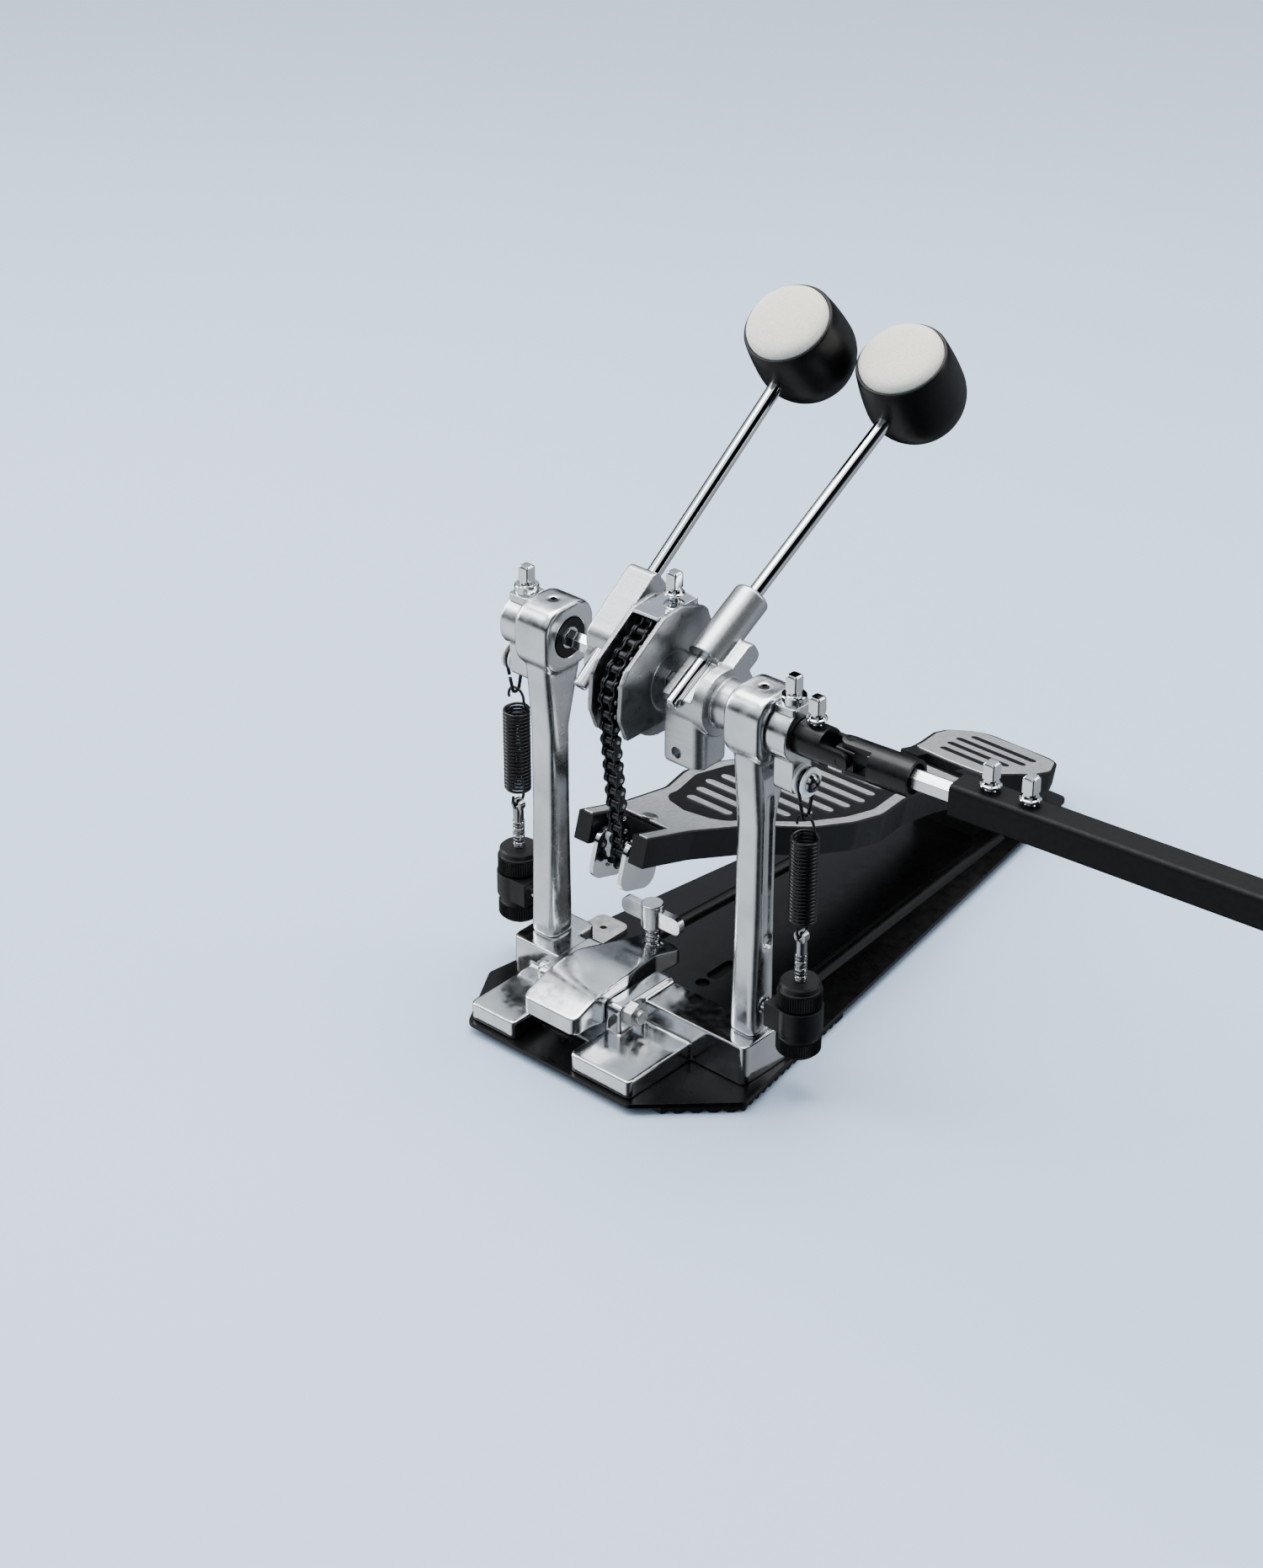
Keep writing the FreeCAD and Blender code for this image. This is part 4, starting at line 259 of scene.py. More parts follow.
# %% Metal finishes
# Mirror-bright, cool, with soft wiping marks.
chrome_plate = metal("chrome_plate", "#d0d3d7", "#eceef0", 0.03, 0.09, 9.0)
# Bright and slightly wavy, with a soft grain that blurs reflections.
polished_casting = metal("polished_aluminium_casting", "#c3c6c9", "#e6e8ea", 0.09, 0.22, 5.0, 0.02)
# The posts, the levers and the wing bolt are only buffed: a soft sheen in place of a mirror.
buffed_casting = metal("buffed_aluminium_casting", "#c0c3c6", "#e2e4e6", 0.17, 0.3, 6.0, 0.015)
# The cam's cheeks are a grey satin skin with faint clouds. The grey is partly the metal's own and partly painted
# shade for cheeks turned away from the lights.
shaded_satin_casting = metal("satin_aluminium_casting_with_painted_shade", "#7d7f82", "#a3a5a8", 0.26, 0.4, 4.0, 0.02)
# Fine lines along X, greyer than the polished parts.
brushed_casting = metal("brushed_aluminium_casting", "#b7babd", "#c8cacc", 0.26, 0.36, 0.3, 0.0025,
                        (0.08, 1, 1))
# Rolled sheet, brushed along its length: long fine lines along Y that spread the light.
brushed_sheet = metal("brushed_aluminium_sheet", "#cfd1d3", "#eaebec", 0.4, 0.54, 0.35, 0.004, (1, 0.02, 1))
# Zinc plating on turned steel: dull silver with a faint warm cloud.
zinc_steel = metal("zinc_plated_steel", "#b3b3b0", "#cfd0d0", 0.24, 0.4, 3.0)
# Clear natural aluminium bar, drawn through a die: faint lines along its length.
drawn_aluminium = metal("drawn_aluminium_bar", "#cdd0d3", "#e2e4e6", 0.24, 0.36, 0.5, 0.004, (0.03, 1, 1))
# Nickel on small screws, eye bolts and threads: a darker, warmer mirror than chrome.
nickel_steel = metal("nickel_plated_steel", "#85868a", "#a5a6a8", 0.08, 0.16, 3.0)
METALS = (chrome_plate, polished_casting, buffed_casting, shaded_satin_casting, brushed_casting, brushed_sheet,
          zinc_steel, drawn_aluminium, nickel_steel)
print("metals:", ", ".join(material.name for material in METALS))

# %% [markdown]
# Black parts. On the real pedal these differ more than they seem: powder coat on the base plate has a fine
# orange peel, black oxide is a thin skin on steel, satin on the joint and oily on the chain, and moulded
# nylon or rubber has a grain from its tool. The grains are as wide as real ones, from 0.5 to 1.2 mm.

# %% Black finishes
# Roughness varies by 15 % in clouds six grains wide, and tone in clouds three grains wide.
ROUGH_SPREAD, ROUGH_CLOUD, TONE_CLOUD, COAT_BUMP = 0.15, 6, 3, 0.4


def coat(name, dark, light, rough, grain_mm, bump_mm, metallic=0.0, gloss=0.25):
    """A dark paint, oxide or moulding with a grain in colour, roughness and height."""
    material, tree, shader, place = surface(name)
    shader.inputs["Metallic"].default_value = metallic
    shader.inputs["Specular IOR Level"].default_value = gloss
    low, high = rough * (1 - ROUGH_SPREAD), rough * (1 + ROUGH_SPREAD)
    tree.links.new(mottled(tree, place, grain_mm * ROUGH_CLOUD, low, high), shader.inputs["Roughness"])
    tone = mottled(tree, place, grain_mm * TONE_CLOUD)
    grained(tree, shader, tone, dark, light, mottled(tree, place, grain_mm), bump_mm, COAT_BUMP)
    return material


# Baked powder: deep black with a faint orange peel.
powder_coat = coat("black_powder_coat", "#030303", "#060607", 0.3, 1.2, 0.008, 0.0, 0.2)
# Satin stove enamel on the square tube, finer and duller.
tube_coat = coat("black_satin_tube_coat", "#040405", "#070708", 0.5, 0.5, 0.02, 0.0, 0.15)
# Blackened steel: a thin oxide skin, deep and satin, that still takes a soft sheen from above.
black_oxide = coat("black_oxide_steel", "#060607", "#0c0c0e", 0.3, 0.8, 0.006, 0.0, 0.28)
# The chain is oiled and handled, so more of the metal's lustre comes through.
chain_oxide = coat("oiled_black_chain_steel", "#1b1c1e", "#38393c", 0.24, 0.8, 0.01, 0.8, 0.5)
# The ends of the chain's pins are painted pale grey as a painted glint: an attribute of the links says where.
oxide_tree = chain_oxide.node_tree
oxide_shader = oxide_tree.nodes["Principled BSDF"]
glint_mask = add(oxide_tree, "ShaderNodeAttribute", attribute_name="rubbed").outputs["Fac"]
oxide = oxide_shader.inputs["Base Color"].links[0].from_socket
rubbed = add(oxide_tree, "ShaderNodeMix", {0: glint_mask, 6: oxide, 7: linear("#b9babb")}, data_type="RGBA")
oxide_tree.links.new(rubbed.outputs[2], oxide_shader.inputs["Base Color"])
# A thin black coat on drawn wire: smooth enough for a line of light on every turn.
spring_coat = coat("black_coated_spring_wire", "#050506", "#0b0b0c", 0.24, 0.6, 0.006, 0.0, 0.4)
# Moulded plastics and rubber: a spark-eroded grain, satin on plastic and matt on rubber.
nylon_black = coat("black_moulded_nylon", "#08090a", "#101112", 0.44, 0.6, 0.02)
head_plastic = coat("black_moulded_beater_plastic", "#060607", "#0c0c0d", 0.36, 0.5, 0.015)
grip_rubber = coat("moulded_grip_rubber", "#060606", "#0d0d0d", 0.72, 0.5, 0.03)
nylon_white = coat("white_moulded_nylon", "#dcdedd", "#eef0ef", 0.38, 0.8, 0.006, 0.0, 0.5)
# Matt paint on the footboard's sides and fields.
board_black = coat("black_painted_footboard", "#0a0b0c", "#121314", 0.42, 0.5, 0.02)
print("coats:", powder_coat.name, tube_coat.name, black_oxide.name, chain_oxide.name, spring_coat.name)

# %% Felt
# Pressed wool: cream, quite matt, with short fibres about 0.4 mm wide that lie every way.
FIBRE_WIDTH, FIBRE_TUFT, FIBRE_DEPTH, FIBRE_DETAIL, FELT_BUMP = 0.4, 0.9, 0.25, 6.0, 0.8
felt_wool, felt_tree, felt_shader, felt_place = surface("pressed_wool_felt")
felt_shader.inputs["Roughness"].default_value = 1.0
felt_shader.inputs["Sheen Weight"].default_value = 0.35
tufts = mottled(felt_tree, felt_place, FIBRE_TUFT, detail=FIBRE_DETAIL)
fibres = mottled(felt_tree, felt_place, FIBRE_WIDTH, stretch=(1, 0.4, 1), detail=FIBRE_DETAIL)
grained(felt_tree, felt_shader, tufts, "#dcd6c5", "#f4f0e4", fibres, FIBRE_DEPTH, FELT_BUMP)
print("soft finish:", felt_wool.name)

# %% [markdown]
# Softened solids. Edges of real castings and pressed steel are never sharp: a small round on each catches a
# line of light, which the eye reads as metal. A copy of each solid is cleaned to flat faces, and a Bevel
# modifier rounds only the edges that turn sharply, so the curved faces stay as they are. A Weighted Normal
# modifier then lets large flat faces set the shading at their corners, because a mirror finish shows the
# smallest slope.

# %% Soft copies of the solids
SOFT_EDGE, FLAT_DEGREES, FLAT_WEIGHT, SAME_POINT = 0.4, 1.0, 90, 1e-6


def merged(node):
    """A bmesh of a solid, with its loose triangles joined."""
    work = bmesh.new()
    work.from_mesh(frame["nodes"][node].data)
    bmesh.ops.remove_doubles(work, verts=work.verts, dist=SAME_POINT)
    return work


def soft_copy(node, material, width_mm=SOFT_EDGE, segments=2):
    """A piece that stands for a solid, with its sharp edges rounded."""
    work = merged(node)
    bmesh.ops.dissolve_limit(work, angle_limit=math.radians(FLAT_DEGREES), verts=work.verts,
                             edges=work.edges, delimit=set())
    piece = new_object("soft_" + node, mesh_of(work, node))
    piece.data.materials.append(material)
    rounding = piece.modifiers.new("rounding", "BEVEL")
    rounding.width = width_mm * MM
    rounding.segments = segments
    rounding.limit_method = "ANGLE"
    rounding.angle_limit = CREASE
    rounding.use_clamp_overlap = True
    plain_mesh(piece)
    smooth(piece.data)
    flat_faces = piece.modifiers.new("flat_faces", "WEIGHTED_NORMAL")
    flat_faces.keep_sharp = True
    flat_faces.weight = FLAT_WEIGHT
    plain_mesh(piece)
    return stands_for(node, piece)


# The finish of each and, where they aren't the usual ones, the width of the round and its segments.
SOFT_SOLIDS = {
    "base_plate": (powder_coat, 0.6), "anchor_plate": (zinc_steel,), "heel_plate": (board_black, 1.5, 3),
    "footboard": (board_black, 1.2, 3), "chain_stirrup": (chrome_plate, 0.5), "drive_tube": (tube_coat, 0.5),
    "near_yoke": (black_oxide, 0.5), "mid_yoke": (black_oxide, 0.5), "end_yoke": (black_oxide, 0.5),
    "spring_brackets": (nylon_black, 0.8), "hex_rod": (drawn_aluminium,), "main_axle": (chrome_plate,),
    "second_sleeve": (chrome_plate,), "wing_bolt": (buffed_casting, 0.8),
    "chain_anchor_plate": (chrome_plate,), "clamp_pivot_bolt": (zinc_steel,), "left_bush": (nylon_white,),
    "right_bush": (nylon_white,), "left_eye_bolt": (nickel_steel,), "right_eye_bolt": (nickel_steel,),
    "bracket_pins": (chrome_plate,), "stirrup_screw": (zinc_steel,),
}
for node, finish in SOFT_SOLIDS.items():
    soft_copy(node, *finish)
print("soft copies:", len(SOFT_SOLIDS))

# %% [markdown]
# Castings. A casting comes out of its mould with every edge and every inner corner rounded by one or two
# millimetres, and polishing rounds it further. Rounding edges one by one can't do that where many meet, so
# each casting is made anew as an even skin of small squares, half a millimetre or so wide, by a Remesh
# modifier. A Smooth modifier then relaxes that skin, which leaves flat faces where they were and rounds all
# that is sharp.

# %% Rounded castings
RELAX_FACTOR = 0.5


def cast_copy(node, material, grain_mm, passes):
    """A piece that stands for a cast solid, with all its edges and inner corners rounded."""
    piece = new_object("cast_" + node, mesh_of(merged(node), node))
    squares = piece.modifiers.new("squares", "REMESH")
    squares.mode = "VOXEL"
    squares.voxel_size = grain_mm * MM
    relax = piece.modifiers.new("relax", "SMOOTH")
    relax.factor = RELAX_FACTOR
    relax.iterations = passes
    plain_mesh(piece)
    piece.data.materials.clear()
    piece.data.materials.append(material)
    piece.data.shade_smooth()
    return stands_for(node, piece)


# The finish of each, the width of its squares in millimetres and the passes of smoothing.
CASTINGS = {
    "frame_casting": (polished_casting, 0.7, 10), "left_post": (buffed_casting, 0.6, 45),
    "right_post": (buffed_casting, 0.6, 45), "clamp_lever": (polished_casting, 0.6, 10),
    # The cam's grey finish partly holds painted shade.
    "cam": (shaded_satin_casting, 0.5, 4), "main_hub": (brushed_casting, 0.5, 10),
    "second_hub": (brushed_casting, 0.5, 8), "left_lever": (buffed_casting, 0.5, 10),
    "right_lever": (buffed_casting, 0.5, 10),
}
faces = 0
for node, (material, grain, passes) in CASTINGS.items():
    faces += len(cast_copy(node, material, grain, passes).data.polygons)
print("castings:", len(CASTINGS), "with", faces, "faces")

# %% Finishes on the solids that stay as they are
KEPT_SOLIDS = {
    "grip_mats": grip_rubber, "post_bearings": nylon_black, "hinge_pin": chrome_plate,
    "heel_screws": zinc_steel, "cam_lining": nylon_black, "main_rod": chrome_plate,
    "second_rod": chrome_plate, "near_cross": black_oxide, "far_cross": black_oxide,
}
for node, material in KEPT_SOLIDS.items():
    mesh = frame["nodes"][node].data
    mesh.materials.clear()
    mesh.materials.append(material)
print("solids kept:", len(KEPT_SOLIDS))

# %% [markdown]
# Geometry Nodes. What repeats is easier to grow than to copy: a tree says once how a link, a ridge or a
# bolt is placed, and named inputs hold its sizes. Instances are made real at the end, because an exported
# model keeps no instances, and the grown object is turned into a plain mesh.

# %% Helpers for geometry trees


def geometry_tree(name, **inputs):
    """A node tree with named inputs, given as socket kinds. Gives the tree and its inputs' sockets."""
    tree = bpy.data.node_groups.new(name, "GeometryNodeTree")
    for label, kind in {"Geometry": "Geometry", **inputs, "Material": "Material"}.items():
        tree.interface.new_socket(label, in_out="INPUT", socket_type="NodeSocket" + kind)
    tree.interface.new_socket("Geometry", in_out="OUTPUT", socket_type="NodeSocketGeometry")
    return tree, add(tree, "NodeGroupInput").outputs


def close_tree(tree, given, *shapes):
    """End a tree in one real geometry with its material."""
    whole = add(tree, "GeometryNodeJoinGeometry", {"Geometry": list(shapes)})
    real = add(tree, "GeometryNodeRealizeInstances", {"Geometry": whole.outputs[0]})
    painted = add(tree, "GeometryNodeSetMaterial", {"Geometry": real.outputs[0],
                                                    "Material": given["Material"]})
    add(tree, "NodeGroupOutput", {"Geometry": painted.outputs[0]})


def grow(name, mesh, tree, **values):
    """An object shaped by a tree. Its inputs are set by their identifiers, then it becomes a plain mesh."""
    piece = new_object(name, mesh)
    modifier = piece.modifiers.new(tree.name, "NODES")
    modifier.node_group = tree
    for item in tree.interface.items_tree:
        if item.in_out == "INPUT" and item.name in values:
            modifier[item.identifier] = values[item.name]
    plain_mesh(piece)
    piece.data.materials.clear()
    piece.data.materials.append(values["Material"])
    smooth(piece.data)
    return piece


def points_mesh(points, edges=()):
    mesh = bpy.data.meshes.new("points")
    mesh.from_pydata([tuple(point) for point in points], list(edges), [])
    return mesh


def drop(*templates):
    """Templates have served once the grown pieces are plain meshes."""
    for template in templates:
        bpy.data.objects.remove(template)


# %% [markdown]
# The drive chain. A roller chain is two kinds of link in turn: a narrow one with rollers and a wide one
# with pins. Each stretch of the chain is a straight row of links on its own body, so one tree grows them
# all: a line of points, narrow links on every other point and wide links on the rest, all turned along the
# line.

# %% Chain links
PITCH = 8.0
PLATE_END, PLATE_WAIST, PLATE_THICK = 3.4, 2.0, 1.2
ROLLER_HALF, ROLLER_RADIUS = 2.3, 2.5
PIN_RADIUS, PIN_HALF, PIN_SIDES = 1.3, 5.4, 16
OUTER_PLATE_IN, PLATE_CHAMFER = 3.6, 0.25
PLATE_FACE = OUTER_PLATE_IN + PLATE_THICK
EYE_START, EYE_SWEEP, EYE_STEPS = -38, 256, 12
PIN_DOME, ROLLER_DOME, GLINT_PROUD = 0.4, 0.2, 0.1


def link_plate(low, high):
    """A waisted plate with two round eyes, from one x to another."""
    outline = []
    for z, side in ((0, 1), (-PITCH, -1)):
        for i in range(EYE_STEPS + 1):
            turn = math.radians(EYE_START + EYE_SWEEP * i / EYE_STEPS)
            outline.append((PLATE_END * math.cos(turn) * side, z + PLATE_END * math.sin(turn) * side))
        outline.append((-PLATE_WAIST * side, -PITCH / 2))
    work = bmesh.new()
    rings = []
    chamfer = PLATE_CHAMFER
    for x, inset in ((low, chamfer), (low + chamfer, 0), (high - chamfer, 0), (high, chamfer)):
        ring = []
        for y, z in outline:
            middle = 0 if z > -PITCH / 2 else -PITCH
            shrink = 1 - inset / PLATE_END
            ring.append(work.verts.new((x * MM, y * shrink * MM, (middle + (z - middle) * shrink) * MM)))
        rings.append(ring)
    skin(work, rings)
    return mesh_of(work, "link_plate")


def cross_pin(radius, half, dome):
    """A pin along X with domed ends, about the origin."""
    pin = lathe([(0, -half), (radius - dome, -half), (radius, dome - half), (radius, half - dome),
                 (radius - dome, half), (0, half)], PIN_SIDES)
    return moved(pin, spin(90, "Y"))


def chain_link(name, plate, pin):
    """One link: a plate on each side and a pin or a roller at each end."""
    return new_object(name, joined(plate, moved(plate, spin(180, "Z")), pin, moved(pin, shift(0, 0, -PITCH))))


wide_link = chain_link("wide_link", link_plate(OUTER_PLATE_IN, PLATE_FACE),
                       cross_pin(PIN_RADIUS, PIN_HALF, PIN_DOME))
narrow_link = chain_link("narrow_link", link_plate(ROLLER_HALF, ROLLER_HALF + PLATE_THICK),
                         cross_pin(ROLLER_RADIUS, ROLLER_HALF, ROLLER_DOME))
# Pin ends that stand out past the outer plates are marked for the chain's painted glint.
for link in (wide_link, narrow_link):
    glint_marks = link.data.attributes.new("rubbed", "FLOAT", "POINT")
    for entry, vertex in zip(glint_marks.data, link.data.vertices):
        entry.value = 1.0 if abs(vertex.co.x) / MM > PLATE_FACE + GLINT_PROUD else 0.0
print("faces of a wide and a narrow link:", len(wide_link.data.polygons), len(narrow_link.data.polygons))

# %% A tree for rows of links
chain_tree, given = geometry_tree("chain_row", Count="Int", Start="Vector", Step="Vector", Turn="Vector",
                                  First="Int", Narrow="Object", Wide="Object")
row = add(chain_tree, "GeometryNodeMeshLine", {"Count": given["Count"], "Start Location": given["Start"],
                                               "Offset": given["Step"]})
place = add(chain_tree, "GeometryNodeInputIndex")
parity = add(chain_tree, "ShaderNodeMath", {0: place.outputs[0], 1: given["First"]}, operation="ADD")
is_wide = add(chain_tree, "ShaderNodeMath", {0: parity.outputs[0], 1: 2.0}, operation="MODULO")
is_narrow = add(chain_tree, "ShaderNodeMath", {0: 1.0, 1: is_wide.outputs[0]}, operation="SUBTRACT")
rows = []
for chosen, template in ((is_narrow, "Narrow"), (is_wide, "Wide")):
    shape = add(chain_tree, "GeometryNodeObjectInfo", {"Object": given[template]})
    links = add(chain_tree, "GeometryNodeInstanceOnPoints",
                {"Points": row.outputs[0], "Selection": chosen.outputs[0],
                 "Instance": shape.outputs["Geometry"], "Rotation": given["Turn"]})
    rows.append(links.outputs[0])
close_tree(chain_tree, given, given["Geometry"], *rows)

# %% [markdown]
# Where each stretch starts comes from the chain's own joints. The hanging run leans back a little, and the
# wound links lie on a ramp up to the anchor plate. A pin closes each end of the chain.

# %% The whole chain
RAMP_DEGREES, RUN_LEAN_DEGREES = 30, 6
WOUND_COUNT, BENDING_COUNT, RUN_COUNT = 3, 4, 12
ANCHOR_PIN_HALF, STIRRUP_PIN_HALF = 8.4, 9.8
pins = [JOINT_AT[f"chain_pin_{i + 1}"] for i in range(BENDING_COUNT + 1)]


def chain_row(node, start, towards, count, first, end_pin=None):
    """Grow one stretch from its upper pin along a direction."""
    step = towards.normalized() * PITCH * MM
    lean = math.atan2(step.y, -step.z)
    own = points_mesh([])
    if end_pin:
        last = step * count if node == "chain_run" else Vector()
        own = moved(end_pin, Matrix.Translation(start + last))
    piece = grow("links_of_" + node, own, chain_tree, Count=count, Start=start, Step=step, Turn=(lean, 0, 0),
                 First=first, Narrow=narrow_link, Wide=wide_link, Material=chain_oxide)
    return stands_for(node, piece)


ramp = Vector((0, math.cos(math.radians(RAMP_DEGREES)), math.sin(math.radians(RAMP_DEGREES))))
lean = math.radians(RUN_LEAN_DEGREES)
chain_row("chain_wound", pins[0] + ramp * PITCH * MM * WOUND_COUNT, -ramp, WOUND_COUNT, 0,
          cross_pin(PIN_RADIUS, ANCHOR_PIN_HALF, PIN_DOME))
for i in range(BENDING_COUNT):
    chain_row(f"chain_link_{i + 1}", pins[i], pins[i + 1] - pins[i], 1, WOUND_COUNT + i)
chain_row("chain_run", pins[-1], Vector((0, math.sin(lean), -math.cos(lean))), RUN_COUNT,
          WOUND_COUNT + BENDING_COUNT, cross_pin(PIN_RADIUS, STIRRUP_PIN_HALF, PIN_DOME))
drop(wide_link, narrow_link)
print("chain links:", WOUND_COUNT + BENDING_COUNT + RUN_COUNT)

# %% [markdown]
# Springs and hooks are bent wire. The path of each is worked out by a formula: a small loop, a close coil,
# and a larger loop across it for a spring, and a pear shape round the bush for a hook. A tree then sweeps a
# round section along that path, which gives the wire its thickness.

# %% A tree for bent wire
wire_tree, given = geometry_tree("wire_along_path", Radius="Float", Sides="Int")
path = add(wire_tree, "GeometryNodeMeshToCurve", {"Mesh": given["Geometry"]})
swell = add(wire_tree, "GeometryNodeInputNamedAttribute", {"Name": "swell"}, data_type="FLOAT")
section = add(wire_tree, "GeometryNodeCurvePrimitiveCircle", {"Radius": given["Radius"],
                                                              "Resolution": given["Sides"]})
wire = add(wire_tree, "GeometryNodeCurveToMesh",
           {"Curve": path.outputs[0], "Profile Curve": section.outputs[0], "Scale": swell.outputs[0],
            "Fill Caps": True})
close_tree(wire_tree, given, wire.outputs[0])
print("tree:", wire_tree.name)

# %% Paths of the springs and hooks
SPRING_WIRE, COIL_RADIUS, COIL_TURNS = 1.6, 6.7, 23
# The coil is wound nearly closed: between its ends the wire is thicker, so that little light shows between
# the turns.
CLOSED_WIRE, SWELL_LENGTH = 1.85, 3.0
LOW_LOOP, HIGH_LOOP = 4.2, 5.5
LOW_RISE, HIGH_DROP, LEAD_DEGREES = 10.5, 10.6, 30
HOOK_WIRE, HOOK_BOW, HOOK_FOOT, HOOK_DROP, HOOK_OPENING, HOOK_GAP = 2.0, 6.8, 2.6, 22.0, 2.6, 0.4
LOW_LOOP_START, HIGH_LOOP_STOP = 150, 200
STEP_DEGREES, WIRE_SIDES = 15, 12


def circle_path(centre, radius, first, second, start, stop):
    """Points round part of a circle that lies between two directions."""
    count = max(2, round(abs(stop - start) / STEP_DEGREES))
    turns = [math.radians(start + (stop - start) * i / count) for i in range(count + 1)]
    return [centre + (first * math.cos(turn) + second * math.sin(turn)) * radius for turn in turns]


def bend(start, leaving, stop, arriving, count=8):
    """Points of a smooth bend between two points that keeps both directions."""
    reach = (stop - start).length
    points = []
    for i in range(1, count):
        t = i / count
        points.append(start * (2 * t ** 3 - 3 * t ** 2 + 1) + leaving * reach * (t ** 3 - 2 * t ** 2 + t)
                      + stop * (3 * t ** 2 - 2 * t ** 3) + arriving * reach * (t ** 3 - t ** 2))
    return points


ACROSS, BACK, UP = Vector((1, 0, 0)), Vector((0, 1, 0)), Vector((0, 0, 1))


def spring_path(eye, hook_low):
    """A spring's wire on the Z axis in millimetres, from the loop in its eye to the loop on its hook."""
    low = circle_path(UP * (eye + LOW_LOOP), LOW_LOOP, BACK, UP, LOW_LOOP_START, 360)
    bottom, top = eye + LOW_RISE, hook_low - HIGH_DROP
    sweep = 360 * COIL_TURNS + 90 - 2 * LEAD_DEGREES
    steps = sweep // STEP_DEGREES
    turns = [math.radians(LEAD_DEGREES + sweep * i / steps) for i in range(steps + 1)]
    coil = [Vector((COIL_RADIUS * math.sin(turn), COIL_RADIUS * math.cos(turn),
                    bottom + (top - bottom) * i / steps)) for i, turn in enumerate(turns)]
    seat = hook_low + HOOK_WIRE / 2 + HOOK_GAP + SPRING_WIRE / 2
    high = circle_path(UP * (seat - HIGH_LOOP), HIGH_LOOP, ACROSS, UP, 0, HIGH_LOOP_STOP)
    into = (coil[1] - coil[0]).normalized()
    out = (coil[-1] - coil[-2]).normalized()
    return low + bend(low[-1], UP, coil[0], into) + coil + bend(coil[-1], out, high[0], UP) + high


def hook_path(bush):
    """A hook's wire in millimetres: over the bush, down both legs and round its foot, with one leg open."""
    drop_to_foot = HOOK_DROP - HOOK_FOOT
    tilt = math.degrees(math.asin((HOOK_BOW - HOOK_FOOT) / drop_to_foot))
    over = circle_path(UP * bush, HOOK_BOW, BACK, UP, 180 + tilt, -tilt)
    foot = circle_path(UP * (bush - drop_to_foot), HOOK_FOOT, BACK, UP, -tilt, tilt - 180)
    leg = over[0] - foot[-1]
    middle, upward = foot[-1] + leg / 2, leg.normalized()
    return [middle + upward * HOOK_OPENING / 2] + over + foot + [middle - upward * HOOK_OPENING / 2]


# %% Springs and hooks


def bent_wire(node, path, x, radius, bottom=0.0, top=0.0):
    """A wire along a path. Between two heights it swells to the closed coil's thickness."""
    points = [(point + ACROSS * x) * MM for point in path]
    line = points_mesh(points, [(i, i + 1) for i in range(len(points) - 1)])
    swell = line.attributes.new("swell", "FLOAT", "POINT")
    for entry, point in zip(swell.data, path):
        inside = min(point.z - bottom, top - point.z) / SWELL_LENGTH
        entry.value = 1 + (CLOSED_WIRE / SPRING_WIRE - 1) * min(1.0, max(0.0, inside))
    return stands_for(node, grow("wire_of_" + node, line, wire_tree, Radius=radius * MM, Sides=WIRE_SIDES,
                                 Material=spring_coat))


for side in SIDES:
    bush = JOINT_AT[side + "_hook_swing"] / MM
    eye = JOINT_AT[side + "_spring_swing"] / MM
    bent_wire(side + "_hook", hook_path(bush.z), bush.x, HOOK_WIRE / 2)
    bent_wire(side + "_spring", spring_path(eye.z, bush.z - HOOK_DROP), eye.x, SPRING_WIRE / 2,
              eye.z + LOW_RISE, bush.z - HOOK_DROP - HIGH_DROP)
print("spring turns:", COIL_TURNS, "on each side")

# %% [markdown]
# Screw threads and knurls. A thread is one ridge wound round a shank: a spiral curve with a four-sided
# section. A knurl is a row of small ridges round a drum, each a thin bar turned on its corner. Both trees
# take the shank or the drum as their own geometry and add to it.

# %% Trees for threads and knurls
HELIX_STEPS, RIDGE_SIDES = 20, 4
thread_tree, given = geometry_tree("thread", Radius="Float", Depth="Float", Turns="Float", Length="Float",
                                   Foot="Vector")
helix = add(thread_tree, "GeometryNodeCurveSpiral", {"Resolution": HELIX_STEPS, "Rotations": given["Turns"],
            "Start Radius": given["Radius"], "End Radius": given["Radius"], "Height": given["Length"]})
ridge = add(thread_tree, "GeometryNodeCurvePrimitiveCircle", {"Radius": given["Depth"],
                                                              "Resolution": RIDGE_SIDES})
wound = add(thread_tree, "GeometryNodeCurveToMesh",
            {"Curve": helix.outputs[0], "Profile Curve": ridge.outputs[0], "Fill Caps": True})
stood = add(thread_tree, "GeometryNodeTransform",
            {"Geometry": wound.outputs[0], "Translation": given["Foot"]})
close_tree(thread_tree, given, given["Geometry"], stood.outputs[0])

knurl_tree, given = geometry_tree("knurl", Radius="Float", Height="Float", Width="Float", Count="Int",
                                  Middle="Vector")
circle = add(knurl_tree, "GeometryNodeMeshCircle", {"Vertices": given["Count"], "Radius": given["Radius"]})
section = add(knurl_tree, "ShaderNodeCombineXYZ", {0: given["Width"], 1: given["Width"], 2: given["Height"]})
bar = add(knurl_tree, "GeometryNodeMeshCube", {"Size": section.outputs[0]})
edge_on = add(knurl_tree, "GeometryNodeTransform",
              {"Geometry": bar.outputs[0], "Rotation": (0, 0, math.pi / 4)})
position = add(knurl_tree, "GeometryNodeInputPosition")
outwards = add(knurl_tree, "FunctionNodeAlignRotationToVector", {"Vector": position.outputs[0]}, axis="X")
ridges = add(knurl_tree, "GeometryNodeInstanceOnPoints",
             {"Points": circle.outputs[0], "Instance": edge_on.outputs[0], "Rotation": outwards.outputs[0]})
stood = add(knurl_tree, "GeometryNodeTransform",
            {"Geometry": ridges.outputs[0], "Translation": given["Middle"]})
close_tree(knurl_tree, given, given["Geometry"], stood.outputs[0])
print("trees:", thread_tree.name, knurl_tree.name)

